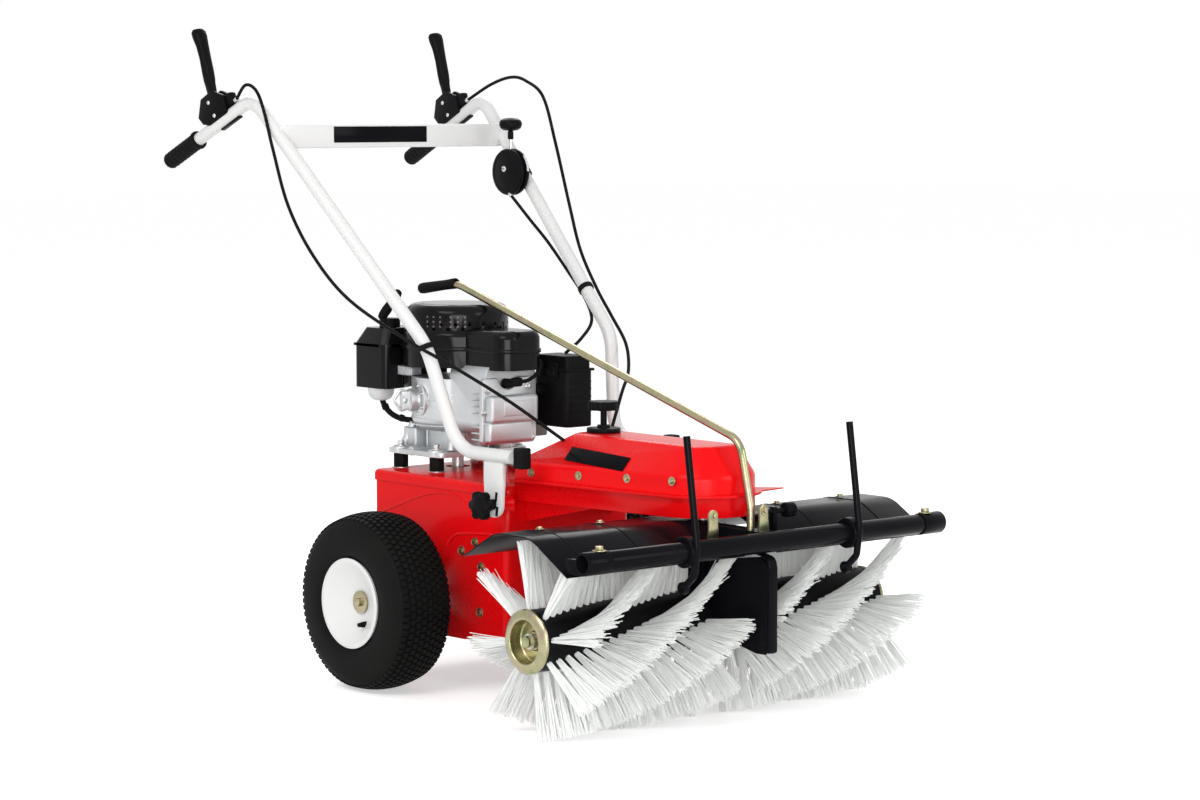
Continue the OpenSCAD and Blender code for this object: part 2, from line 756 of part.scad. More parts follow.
module handlebar_brackets()
    color("#d3131b") both_sides() difference() {
        union() {
            box([pivot_x - 2 * boss_d, -chassis_w / 2 - 2 * sheet - gap, pivot_z - boss_d / 2],
                [pivot_x + boss_d / 2, -chassis_w / 2 - sheet - 2 * gap,
                 deck_z - lip_h - gap]);
            translate([pivot_x, 0, pivot_z])
                bar_across(boss_d, -foot_y + foot_t / 2 + gap, -chassis_w / 2 - sheet - 2 * gap);
            box([pivot_x - 2 * boss_d, -chassis_w / 2 - sheet - 2 * gap, pivot_z - boss_d / 2],
                [chassis_front - corner_r, -chassis_w / 2, deck_z - lip_h - gap]);
        }
        translate([pivot_x, 0, pivot_z])
            bar_across(pivot_bolt_d + 2 * running, -foot_y, 0);
    }

module swivel_spigot()
    color("#9a9c9e") translate([swivel_x, 0, 0]) difference() {
        union() {
            translate([0, 0, keeper_z])
                cylinder(h = boom_floor_z + boom_sheet - keeper_z, r = spigot_r, $fn = small_fn);
            translate([0, 0, keeper_z])
                cylinder(h = keeper_t, r = collar_r - gap, $fn = small_fn);
            translate([0, 0, boom_floor_z + boom_sheet])
                cylinder(h = boom_sheet / 2, d = 2 * spigot_d, $fn = small_fn);
        }
        translate([0, 0, keeper_z - cut])
            cylinder(h = boom_floor_z, r = drive_d / 2 + running, $fn = small_fn);
    }

module at_mounts()
    for (x = [-1, 1]) for (y = [-1, 1])
        translate([engine_x + x * mount_gap_x / 2, y * mount_gap_y / 2, 0]) children();

module engine_mounts()
    color("#161616") at_mounts() translate([0, 0, deck_z])
        cylinder(h = mount_h, d = mount_d, $fn = small_fn);

// frame of the oil filler: local Z runs out along its neck
module at_filler()
    translate([engine_x + filler_d / 2, 0, engine_z + base_t + block_h * filler_rise_share])
        rotate([0, 0, -filler_turn]) rotate([90, 0, 0]) children();

module crankcase() {
    low = engine_z + base_t + foot_h;
    tall = block_top - low;
    color("#b9bdbf") difference() {
        union() {
            translate([engine_x, 0, engine_z]) linear_extrude(base_t)
                soft_rect(mount_gap_x + 2 * mount_d, mount_gap_y + mount_d, mount_d / 2);
            translate([engine_x, 0, engine_z])
                cylinder(h = base_t + foot_h + case_r, d = barrel_d * 0.66, $fn = round_fn);
            translate([engine_x, 0, low]) rotate_extrude($fn = round_fn) {
                translate([0, case_r]) square([barrel_d / 2, barrel_h - foot_h - case_r]);
                square([barrel_d / 2 - case_r, barrel_h - foot_h]);
                translate([barrel_d / 2 - case_r, case_r]) intersection() {
                    circle(r = case_r, $fn = small_fn);
                    translate([0, -case_r]) square(case_r);
                }
            }
            translate([engine_x, 0, low + tall / 2]) rotate([0, 90, 0])
                linear_extrude(block_l) soft_rect(tall, block_w, case_r);
            translate([block_step_x + gap, 0, (low + shroud_z) / 2 - gap]) rotate([0, 90, 0])
                linear_extrude(engine_x + block_l - block_step_x - gap)
                    soft_rect(shroud_z - low - 2 * gap, block_w, case_r);
            at_filler() cylinder(h = filler_y - base_t, d = filler_d, $fn = small_fn);
            at_filler() cylinder(h = filler_y - 2 * base_t, d = filler_d * 1.5, $fn = small_fn);
        }
        translate([engine_x, 0, engine_z - cut])
            cylinder(h = 2 * base_t + cut, d = crank_d + 2 * running, $fn = small_fn);
    }
}

module cylinder_head() {
    x = engine_x + block_l + gap;
    z = engine_z + 3 * base_t;
    color("#c2c5c7") {
        translate([x, -base_t, z + head_h / 2]) rotate([0, 90, 0])
            linear_extrude(head_t / 3) soft_rect(head_h, block_w, base_t);
        translate([x, -2 * base_t, z + head_h * valve_rise_share]) rotate([0, 90, 0])
            linear_extrude(head_t) soft_rect(valve_h, block_w - base_t, base_t);
        translate([x, -2.5 * base_t, z + head_h * valve_rise_share / 2]) rotate([0, 90, 0])
            linear_extrude(head_t * 0.7) soft_rect(valve_h * 0.9, block_w - 2 * base_t, base_t);
    }
}

module engine_shroud()
    color("#141416") difference() {
        union() {
            hull() {
                translate([engine_x, 0, shroud_z])
                    cylinder(h = shroud_h, d = shroud_d, $fn = small_fn);
                translate([engine_x + visor_l - visor_h, 0, shroud_z + (shroud_h - visor_h) / 2])
                    linear_extrude(visor_h) soft_rect(2 * visor_h, visor_w, visor_w / 3);
            }
            translate([engine_x, 0, shroud_z - neck_h + gap])
                cylinder(h = neck_h, d = barrel_d * 0.9, $fn = round_fn);
        }
        box([block_step_x, -block_w, shroud_z - neck_h],
            [engine_x + visor_l, block_w, shroud_z]);
    }

// cut windows of the cowl: rows of small slots round its wall
module cowl_slots() {
    slots = 22;
    for (row = [0, 1]) for (i = [0 : slots - 1])
        rotate([0, 0, 360 * (i + row / 2) / slots])
            translate([cowl_d / 2, 0, cowl_h * (0.24 + 0.15 * row)])
                cube([4 * cowl_t, cowl_d / 28, cowl_h / 12], center = true);
}

// half section of the cowl dome, smaller all round by shrink
module cowl_profile(shrink) {
    r = cowl_d / 2;
    square([r - shrink, cowl_h - cowl_edge]);
    square([r - cowl_edge, cowl_h - shrink]);
    translate([r - cowl_edge, cowl_h - cowl_edge]) intersection() {
        circle(r = cowl_edge - shrink, $fn = small_fn);
        square(cowl_edge);
    }
}

module recoil_cowl() {
    r = cowl_d / 2;
    color("#101012") translate([engine_x, 0, cowl_z + gap]) difference() {
        rotate_extrude($fn = round_fn) difference() {
            cowl_profile(0);
            cowl_profile(cowl_t);
            translate([-cut, -cut]) square([r - cowl_t + cut, 2 * cut]);
        }
        cowl_slots();
        translate([-r / 2, -rope_y, rope_rise]) rotate([0, -90, 0])
            cylinder(h = r, d = rope_d + 2 * gap, $fn = small_fn);
    }
}

module fuel_tank() {
    x = engine_x - shroud_d / 2 - tank_l / 2 + tank_tuck;
    color("#131315") difference() {
        translate([x, -tank_y, tank_z]) {
            linear_extrude(tank_h * tank_seam_share) soft_rect(tank_l, tank_w, corner_r);
            translate([0, 0, tank_h * tank_seam_share]) linear_extrude(tank_rim)
                soft_rect(tank_l + 2 * tank_rim, tank_w + 2 * tank_rim, corner_r + tank_rim);
            translate([0, 0, tank_h * tank_seam_share]) hull() {
                linear_extrude(tank_rim) soft_rect(tank_l, tank_w, corner_r);
                translate([0, 0, tank_h * (1 - tank_seam_share) - tank_rim]) linear_extrude(tank_rim)
                    soft_rect(tank_l * 0.72, tank_w * 0.82, corner_r);
            }
        }
        translate([engine_x, 0, 0]) cylinder(h = 2 * tank_z, d = shroud_d + 2 * gap, $fn = round_fn);
    }
}

// place of the fuel cap on the tank
cap_x = engine_x - shroud_d / 2 - tank_l / 2 + tank_tuck;
cap_y = -tank_y - tank_w / 5;

module fuel_cap()
    color("#0e0e0f") translate([cap_x, cap_y, tank_z + tank_h + gap])
        difference() {
            cylinder(h = fuel_cap_h, d = fuel_cap_d, $fn = small_fn);
            for (i = [0 : 11]) rotate([0, 0, 30 * i]) translate([fuel_cap_d / 2, 0, fuel_cap_h / 3])
                cylinder(h = fuel_cap_h, d = fuel_cap_d / 10, $fn = small_fn);
        }

module oil_cap()
    color("#c8cbcb") at_filler() translate([0, 0, filler_y - base_t + gap]) {
        cylinder(h = base_t, d = filler_d * 1.1, $fn = small_fn);
        difference() {
            cylinder(h = 2.6 * base_t, d = filler_d * 0.9, $fn = small_fn);
            for (side = [-1, 1]) translate([side * filler_d * 0.42, 0, 2 * base_t])
                cube([filler_d / 2, 2 * filler_d, 2 * base_t], center = true);
            translate([0, 0, 1.9 * base_t]) rotate([0, 90, 0])
                cylinder(h = filler_d, d = base_t, center = true, $fn = small_fn);
        }
    }

module air_cleaner() {
    x = engine_x + block_l - air_l / 3;
    y = block_w / 2 + 2 * base_t;
    z = engine_z + 5.6 * base_t;
    color("#121213") {
        translate([x + air_l / 2, y + air_w / 2, z]) {
            linear_extrude(air_h * air_seam_share) soft_rect(air_l, air_w, corner_r);
            translate([0, 0, air_h * air_seam_share]) linear_extrude(air_h * (1 - air_seam_share))
                soft_rect(air_l - 2 * sheet, air_w - 2 * sheet, corner_r - sheet);
        }
        translate([x + air_l / 4, 0, z + air_h / 2]) bar_across(mount_d, block_w / 2 + gap, y + corner_r);
    }
}

module muffler() {
    x = engine_x + block_l / 2;
    corner = (block_l - muffler_l) / 2;
    y = max(block_w / 2 + base_t, sqrt(pow(barrel_d / 2 + muffler_clear, 2) - corner * corner));
    z = engine_z + 3 * base_t;
    color("#3a3836") {
        translate([x, y + muffler_w / 2, z]) linear_extrude(muffler_h)
            soft_rect(muffler_l, muffler_w, corner_r);
        translate([x, 0, z + muffler_h / 2]) bar_across(mount_d, block_w / 2 + gap, y + corner_r);
        translate([x, 0, z + muffler_h / 4])
            bar_across(mount_d / 2, y + muffler_w - cut, y + muffler_w + base_t);
    }
}

// grooved pulley of one belt, centred on its own middle height
module pulley(d) {
    groove = belt_t + 2 * gap;
    color("#7d8083") rotate_extrude($fn = round_fn) difference() {
        translate([0, -pulley_h / 2]) square([d / 2, pulley_h]);
        polygon([[d / 2 - groove, -belt_h / 2 - gap], [d / 2 + cut, -belt_h / 2 - gap - sheet / 4],
                 [d / 2 + cut, belt_h / 2 + gap + sheet / 4], [d / 2 - groove, belt_h / 2 + gap]]);
    }
}

// belt loop round two pulleys that stand apart along X
module belt_loop(d1, x1, d2, x2) {
    module run(grow) hull() {
        translate([x1, 0]) circle(d = d1 + grow, $fn = round_fn);
        translate([x2, 0]) circle(d = d2 + grow, $fn = round_fn);
    }
    linear_extrude(belt_h, center = true) difference() {
        run(gap);
        run(-2 * belt_t);
    }
}

axle_belt_z = belt_z - pulley_h - 2 * sheet;

module crankshaft() {
    color("#7d8083") translate([engine_x, 0, 0]) {
        translate([0, 0, belt_z]) pulley(engine_pulley_d);
        translate([0, 0, axle_belt_z]) pulley(engine_pulley_d);
        translate([0, 0, axle_belt_z - pulley_h / 2])
            cylinder(h = engine_z + base_t - axle_belt_z + pulley_h / 2, d = crank_d, $fn = small_fn);
    }
}

module brush_belt()
    color("#202020") translate([0, 0, belt_z])
        belt_loop(engine_pulley_d, engine_x, brush_pulley_d, swivel_x);

module axle_belt()
    color("#202020") translate([0, 0, axle_belt_z])
        belt_loop(engine_pulley_d, engine_x, axle_pulley_d, axle_pulley_x);

module axle_pulley()
    color("#7d8083") translate([axle_pulley_x, 0, 0]) {
        translate([0, 0, axle_belt_z]) pulley(axle_pulley_d);
        translate([0, 0, axle_z + gearbox_h / 4 + gap])
            cylinder(h = axle_belt_z - axle_z - gearbox_h / 4, d = drive_d, $fn = small_fn);
    }

module starter_grip() {
    r = cowl_d / 2;
    rope_x = engine_x - sqrt(r * r - rope_y * rope_y);
    color("#111112") translate([0, -rope_y, cowl_z + gap + rope_rise]) {
        translate([rope_x + rope_in, 0, 0]) rotate([0, -90, 0])
            cylinder(h = rope_in + rope_out, d = rope_d, $fn = small_fn);
        translate([rope_x - rope_out, 0, 0]) bar_across(grip_bar_d, -grip_bar_l / 2, grip_bar_l / 2);
        translate([rope_x - rope_out + grip_bar_d, 0, 0]) rotate([0, -90, 0])
            cylinder(h = grip_bar_d, d = grip_bar_d * 0.7, $fn = small_fn);
    }
}

// place of the adjuster on the belt cover
adjuster_x = cover_top_back + wheel_knob_d / 2 + spindle_d / 2;

module adjuster_base()
    color("#121213") translate([adjuster_x, 0, cover_top_z]) difference() {
        union() {
            cylinder(h = adjuster_base_h * 0.6, d = wheel_knob_d + spindle_d / 2, $fn = small_fn);
            cylinder(h = adjuster_base_h, d = 2 * spindle_d, $fn = small_fn);
        }
        translate([0, 0, adjuster_base_h / 4])
            cylinder(h = adjuster_base_h, d = spindle_d + 2 * running, $fn = small_fn);
    }

module adjuster_handwheel() {
    lobes = 10;
    color("#0f0f10") translate([adjuster_x, 0, cover_top_z]) {
        translate([0, 0, adjuster_base_h / 4 + gap])
            cylinder(h = adjuster_base_h + adjuster_rise, d = spindle_d, $fn = small_fn);
        translate([0, 0, adjuster_base_h + adjuster_rise - cut]) difference() {
            cylinder(h = wheel_knob_h, d = wheel_knob_d, $fn = round_fn);
            for (i = [0 : lobes - 1]) rotate([0, 0, 360 * i / lobes])
                translate([wheel_knob_d * 0.53, 0, -cut])
                    cylinder(h = wheel_knob_h + 2 * cut, d = wheel_knob_d / 6, $fn = small_fn);
        }
    }
}

module swivel_collar()
    color("#1a1a1b") difference() {
        union() {
            translate([swivel_x, 0, collar_z]) cylinder(h = collar_l, r = collar_r, $fn = small_fn);
            box([swivel_x, -arm_w / 2, arm_z], [tube_x, arm_w / 2, arm_z + arm_h]);
        }
        translate([swivel_x, 0, collar_z - cut])
            cylinder(h = collar_l + 2 * cut, r = spigot_r + running, $fn = small_fn);
        translate([tube_x, 0, tube_z]) bar_across(tube_d + 2 * gap, -arm_w, arm_w);
        translate([lever_x, 0, arm_z + arm_h - pin_depth - gap])
            cylinder(h = arm_h, d = lever_d + 2 * running, $fn = small_fn);
    }

module front_tube()
    color("#131314") translate([tube_x, 0, tube_z]) difference() {
        bar_across(tube_d, -tube_l / 2, tube_l / 2, round_fn);
        bar_across(tube_d - 2 * tube_t, -tube_l / 2 - cut, tube_l / 2 + cut);
    }

// corner of the hood at radius r about the brush shaft
function hood_corner(turn, r) = r * [cos(turn), sin(turn)];

// rounded outline of the hood, r from the brush shaft at its corners
function hood_outline(r) =
    let (bend = hood_bend + r - hood_r)
    smooth_route([for (turn = hood_turns) hood_corner(turn, r)], [bend, bend], 6);

// cross-section of the hood sheet; fill closes it down to the brush shaft
module hood_section(fill) {
    outer = hood_outline(hood_r + hood_t + (fill ? gap : 0));
    inner = hood_outline(hood_r);
    polygon(fill ? concat(outer, [[0, 0]])
                 : concat(outer, [for (i = [len(inner) - 1 : -1 : 0]) inner[i]]));
}

module hood_run(y0, y1, fill = false)
    translate([swivel_x, y1, brush_z]) rotate([90, 0, 0]) linear_extrude(y1 - y0)
        hood_section(fill);

module right_hood() color("#161618") hood_run(-hood_w / 2, -hood_gap / 2);
module left_hood() color("#161618") hood_run(hood_gap / 2, hood_w / 2);

// places of the hood brackets; the last one ends with the front tube
bracket_shares = [0.16, 0.58];
bracket_places = [for (share = bracket_shares) share * hood_w / 2, tube_l / 2 - bracket_w / 2];

module hood_brackets()
    color("#1c1c1d") both_sides() for (place = bracket_places)
        translate([0, -place, 0]) difference() {
            box([tube_x - 2.4 * tube_r, -bracket_w / 2, tube_z - 1.1 * tube_r],
                [tube_x, bracket_w / 2, tube_z + tube_r / 3]);
            hood_run(-bracket_w, bracket_w, true);
            translate([tube_x, 0, tube_z]) bar_across(tube_d + gap, -bracket_w, bracket_w, round_fn);
        }

// filled shape of the brush gearbox, smaller all round by shrink
module leg_shape(shrink) {
    top = keeper_z - keeper_t / 2;
    bar = leg_w - 2 * shrink;
    translate([swivel_x, 0, brush_z]) bar_across(2 * (leg_r - shrink), -bar / 2, bar / 2, round_fn);
    box([swivel_x - leg_r * 0.6 + shrink, -bar / 2, brush_z],
        [swivel_x + leg_r * 0.6 - shrink, bar / 2, top - shrink]);
}

module brush_gearbox()
    color("#1d1d1e") difference() {
        union() {
            leg_shape(0);
            box([swivel_x + leg_r * 0.6 - leg_t, -arm_w / 3, keeper_z - arm_h],
                [swivel_x + leg_r, arm_w / 3, arm_z - gap]);
        }
        leg_shape(leg_t);
        translate([swivel_x, 0, brush_z])
            bar_across(brush_shaft_d + 2 * running, -leg_w, leg_w);
        translate([swivel_x, 0, brush_z])
            cylinder(h = boom_floor_z, d = drive_d + 2 * running, $fn = small_fn);
    }

module gearbox_guard()
    color("#151516") difference() {
        translate([swivel_x, guard_w / 2, brush_z]) rotate([90, 0, 0])
            rotate([0, 0, guard_start]) rotate_extrude(angle = guard_sweep, $fn = round_fn)
                translate([guard_r, 0]) square([guard_t, guard_w]);
        box([swivel_x, -arm_w, arm_z - gap], [tube_x, arm_w, 2 * arm_z]);
    }

module swivel_lever()
    color("#d2c277") swept_bar(smooth_route(lever_route, lever_bends, 6), lever_d, 12);

module swivel_lever_grip() {
    from = lever_route[0];
    way = unit(lever_route[1] - from);
    color("#121213") translate(from - way * lever_d) rotate([0, acos(way[2]), 0]) difference() {
        cylinder(h = norm(lever_route[1] - from), d = lever_grip_d, $fn = small_fn);
        translate([0, 0, lever_d - gap]) cylinder(h = norm(lever_route[1] - from), d = lever_d + 2 * gap,
                                                  $fn = small_fn);
    }
}

module hook(side)
    color("#141415") translate([tube_x, side * hook_y, 0]) {
        difference() {
            union() {
                swept_bar(smooth_route(hook_route, hook_bends, 5), hook_d, 12);
                translate([0, 0, tube_z])
                    bar_across(tube_d + 2 * sleeve_t, -sleeve_w / 2, sleeve_w / 2, round_fn);
                translate(hook_route[3]) bar_across(eye_d + 2 * eye_t, -hook_d / 2, hook_d / 2);
            }
            translate([0, 0, tube_z]) bar_across(tube_d + 2 * running, -sleeve_w, sleeve_w, round_fn);
            translate(hook_route[3]) bar_across(eye_d, -hook_d, hook_d);
        }
    }

module drive_shaft() {
    pinion_r = crown_y - gap;
    small = pinion_r * (crown_r - gear_face) / crown_r;
    color("#85888a") translate([swivel_x, 0, 0]) {
        translate([0, 0, belt_z]) pulley(brush_pulley_d);
        translate([0, 0, brush_z + crown_r])
            cylinder(h = belt_z - brush_z - crown_r, d = drive_d, $fn = small_fn);
        translate([0, 0, brush_z + crown_r - gear_face])
            cylinder(h = gear_face, r1 = small, r2 = pinion_r, $fn = small_fn);
    }
}

module brush_shaft() {
    small = crown_r - gear_face;
    color("#85888a") at_brush() {
        translate([0, 0, -brush_w / 2]) cylinder(h = brush_w, d = brush_shaft_d, $fn = small_fn);
        translate([0, 0, crown_y * small / crown_r + gap])
            cylinder(h = crown_y * gear_face / crown_r, r1 = small, r2 = crown_r, $fn = round_fn);
    }
}

module brush_core()
    color("#151515") at_brush() for (side = [-1, 1])
        translate([0, 0, side * (brush_gap / 2 + half_l / 2)])
            rotate_extrude($fn = round_fn) {
                translate([core_r - core_t, -half_l / 2]) square([core_t, half_l]);
                for (y = [-half_l / 2, half_l / 2 - core_t])
                    translate([brush_shaft_d / 2 + running, y])
                        square([core_r - core_t / 2 - brush_shaft_d / 2 - running, core_t]);
            }

module brush_discs()
    color("#c9ba84") for (side = [-1, 1])
        translate([swivel_x, side * (brush_w / 2 + gap), brush_z]) outward(side) {
            rotate_extrude($fn = round_fn) {
                square([disc_d / 2, disc_t / 4]);
                translate([disc_d * 0.3, 0]) polygon([[0, 0], [disc_d * 0.2, 0],
                    [disc_d * 0.2, disc_t * 0.5], [disc_d * 0.16, disc_t * 0.8], [disc_d * 0.03, disc_t]]);
            }
            cylinder(h = disc_t * 0.7, d = bolt_head_d, $fn = 6);
        }

// one brush half: a tuft carrier with every tuft growing out of its own patch
module bristle_half(y0) {
    columns = 2 * tuft_rows;
    rings = 2 * tufts_in_row + 1;
    pitch = half_l / tufts_in_row;
    foot = pitch * tuft_foot_share;
    row_turn = 360 / tuft_rows;
    outer_r = core_r + carrier_t + core_t;
    inner_r = (core_r + gap) / cos((row_turn - tuft_foot_turn) / 2);
    skip = round(helix_turn / row_turn) * 2;
    count = (rings + 1) * columns;
    tip = count + 2 * columns;
    // height of ring i: gaps and tufts take turns
    function ring_y(i) = i == 0 ? 0 : i == rings ? half_l :
        floor((i - 1) / 2) * pitch + (pitch - foot) / 2 + ((i - 1) % 2) * foot;
    // direction of column j at height y
    function turn_at(j, y) = floor(j / 2) * row_turn + (j % 2) * tuft_foot_turn
        + helix_turn * y / half_l;
    function spot(r, turn, y) = [swivel_x + r * cos(turn), y0 + y, brush_z + r * sin(turn)];
    function at_grid(i, j) = i * columns + j % columns;
    function tuft(i, j) = i % 2 == 1 && j % 2 == 0;
    function tip_index(i, j) = tip + 4 * ((i - 1) / 2 * tuft_rows + j / 2);
    function ring_faces(a, b, c, d) = [[a, b, c], [a, c, d]];
    polyhedron(
        points = [
            for (i = [0 : rings]) for (j = [0 : columns - 1])
                spot(outer_r, turn_at(j, ring_y(i)), ring_y(i)),
            for (y = [0, half_l]) for (j = [0 : columns - 1]) spot(inner_r, turn_at(j, 0), y),
            for (t = [0 : tufts_in_row - 1]) for (row = [0 : tuft_rows - 1])
                let (y = (t + 0.5) * pitch, middle = row * row_turn + tuft_foot_turn / 2
                         + helix_turn * y / half_l)
                each [for (k = [[-1, -1], [1, -1], [1, 1], [-1, 1]])
                    spot(brush_r, middle + k[0] * tuft_tip_turn / 2, y + k[1] * tuft_tip_w / 2)]],
        faces = [
            for (i = [0 : rings - 1]) for (j = [0 : columns - 1])
                let (a = at_grid(i, j), b = at_grid(i, j + 1), c = at_grid(i + 1, j + 1),
                     d = at_grid(i + 1, j))
                each (tuft(i, j)
                    ? let (p = tip_index(i, j))
                      concat(ring_faces(a, b, p + 1, p), ring_faces(b, c, p + 2, p + 1),
                             ring_faces(c, d, p + 3, p + 2), ring_faces(d, a, p, p + 3),
                             ring_faces(p, p + 1, p + 2, p + 3))
                    : ring_faces(a, b, c, d)),
            for (j = [0 : columns - 1])
                let (a = count + j, b = count + (j + 1) % columns,
                     low = j, low_next = (j + 1) % columns,
                     high = rings * columns + (j - skip + columns) % columns,
                     high_next = rings * columns + (j + 1 - skip + columns) % columns)
                each concat(ring_faces(a + columns, b + columns, b, a),
                            ring_faces(a, b, low_next, low),
                            ring_faces(high, high_next, b + columns, a + columns))],
        convexity = 20);
}

module right_bristles() color("#e6e8e4") bristle_half(-brush_w / 2);
module left_bristles() color("#e6e8e4") bristle_half(brush_gap / 2);

module handlebar_frame()
    color("#f3f3f1") difference() {
        union() {
            both_sides() {
                swept_bar(smooth_route(bar_route, bar_bends, 6), bar_d, 18);
                translate([pivot_x, -foot_y + foot_t / 2, 0]) rotate([90, 0, 0])
                    linear_extrude(foot_t) {
                        translate([0, pivot_z]) circle(d = foot_w, $fn = small_fn);
                        translate([-foot_w / 2, pivot_z]) square([foot_w, stub_z - pivot_z]);
                    }
            }
            translate([crossbar_point[0], 0, crossbar_point[2]])
                box([-crossbar_t / 2, crossbar_point[1], -crossbar_h / 2],
                    [crossbar_t / 2, -crossbar_point[1], crossbar_h / 2]);
        }
        translate([pivot_x, 0, pivot_z])
            bar_across(pivot_bolt_d + 2 * running, -foot_y - foot_t, foot_y + foot_t);
    }

// frame of the right grip with local X along the grip toward its end
module at_grip() rotate([0, 0, grip_yaw]) rotate([0, -grip_tilt, 0]) children();

module hand_grips()
    color("#101011") both_sides() translate(grip_end) at_grip() difference() {
        translate([bar_d / 2, 0, 0]) rotate([0, -90, 0]) cylinder(h = grip_l, d = grip_d, $fn = small_fn);
        translate([gap, 0, 0]) rotate([0, -90, 0])
            cylinder(h = grip_l + cut, d = bar_d + 2 * gap, $fn = small_fn);
    }

module lever_mounts()
    color("#131315") both_sides() translate(mount_point) at_grip() {
        difference() {
            box([-mount_block_l / 2, -mount_block_w / 2, -bar_d],
                [mount_block_l / 2, mount_block_w / 2, lever_rise + lever_pin_d]);
            translate([-mount_block_l, 0, 0]) rotate([0, 90, 0])
                cylinder(h = 2 * mount_block_l, d = bar_d + 2 * gap, $fn = small_fn);
            box([-mount_block_l, -clutch_t / 2 - gap, bar_d],
                [mount_block_l, clutch_t / 2 + gap, 2 * lever_rise]);
        }
        translate([0, 0, lever_rise])
            bar_across(lever_pin_d - 2 * running, -mount_block_w / 2, mount_block_w / 2);
        translate([-mount_block_l / 2 - ferrule_l, 0, ferrule_rise])
            rotate([0, 90, 0]) cylinder(h = ferrule_l + cut, d = 1.6 * cable_d, $fn = small_fn);
    }

module right_clutch_lever()
    color("#12151d") translate(mount_point) at_grip() translate([0, 0, lever_rise])
        rotate([90, 0, 0]) linear_extrude(clutch_t, center = true) difference() {
            union() {
                circle(d = clutch_w * 0.9, $fn = small_fn);
                rotate([0, 0, clutch_turn]) polygon([[0, -clutch_w * 0.4], [clutch_l, -clutch_w * 0.55],
                    [clutch_l, clutch_w * 0.55], [0, clutch_w * 0.4]]);
                rotate([0, 0, clutch_turn]) translate([clutch_l, 0])
                    circle(d = clutch_w * 1.1, $fn = small_fn);
            }
            circle(d = lever_pin_d, $fn = small_fn);
        }

module left_clutch_lever() mirror([0, 1, 0]) right_clutch_lever();

// frame of the throttle beside the left handlebar tube
throttle_y = -throttle_point[1] - bar_d / 2 - throttle_t / 2 - gap
             - abs(leg_way[1]) * throttle_d / 2;
throttle_slot = throttle_t / 5;
module at_throttle() translate([throttle_point[0], throttle_y, throttle_point[2]]) children();

module throttle_housing()
    color("#141416") {
        at_throttle() {
            difference() {
                bar_across(throttle_d, -throttle_t / 2, throttle_t / 2, round_fn);
                box([-throttle_d, -throttle_slot / 2 - gap, -throttle_d / 5],
                    [throttle_d, throttle_slot / 2 + gap, throttle_d]);
            }
            bar_across(lever_pin_d - 2 * running, -throttle_t / 4, throttle_t / 4);
            translate([0, throttle_t / 2, 0]) rotate([90, 0, 0])
                cylinder(h = cut, d = throttle_d / 2, $fn = small_fn);
        }
        translate([throttle_point[0], -throttle_point[1], throttle_point[2]])
            rotate([0, 0, atan2(-leg_way[1], leg_way[0])])
                rotate([0, acos(leg_way[2]), 0]) difference() {
                    cylinder(h = throttle_t, d = bar_d + 4 * sheet, center = true, $fn = small_fn);
                    cylinder(h = 2 * throttle_t, d = bar_d + 2 * gap, center = true, $fn = small_fn);
                }
    }

module throttle_lever() {
    reach = throttle_d / 2 + throttle_stalk;
    color("#0f0f10") at_throttle() {
        rotate([90, 0, 0]) linear_extrude(throttle_slot, center = true) difference() {
            union() {
                circle(d = 2.6 * lever_pin_d, $fn = small_fn);
                translate([-lever_pin_d / 2, 0]) square([lever_pin_d, reach]);
            }
            circle(d = lever_pin_d, $fn = small_fn);
        }
        translate([0, 0, reach]) rotate_extrude($fn = small_fn) intersection() {
            scale([1, throttle_knob_h / throttle_knob_d]) circle(d = throttle_knob_d, $fn = small_fn);
            translate([0, -throttle_knob_d]) square(2 * throttle_knob_d);
        }
    }
}

module star_knob(side) {
    lobes = 5;
    start = foot_y + foot_t / 2 + gap;
    color("#101011") translate([pivot_x, 0, pivot_z]) outward(side) {
        translate([0, 0, chassis_w / 2 + 3 * sheet])
            cylinder(h = start + knob_neck - chassis_w / 2, d = pivot_bolt_d, $fn = small_fn);
        translate([0, 0, start]) cylinder(h = knob_neck, d = 2 * pivot_bolt_d, $fn = small_fn);
        translate([0, 0, start + knob_neck]) linear_extrude(knob_h) {
            circle(r = knob_r * 0.7, $fn = small_fn);
            for (i = [0 : lobes - 1]) rotate([0, 0, 360 * i / lobes])
                translate([knob_r * 0.66, 0]) circle(r = knob_r * 0.34, $fn = small_fn);
        }
    }
}

// radius of each bend of a control cable
function cable_bends(route) = [for (i = [2 : len(route) - 1]) 4 * cable_d];

module control_cables()
    color("#111112") for (route = [right_cable, left_cable, throttle_cable])
        swept_bar(smooth_route(route, cable_bends(route), 2), cable_d, 8);

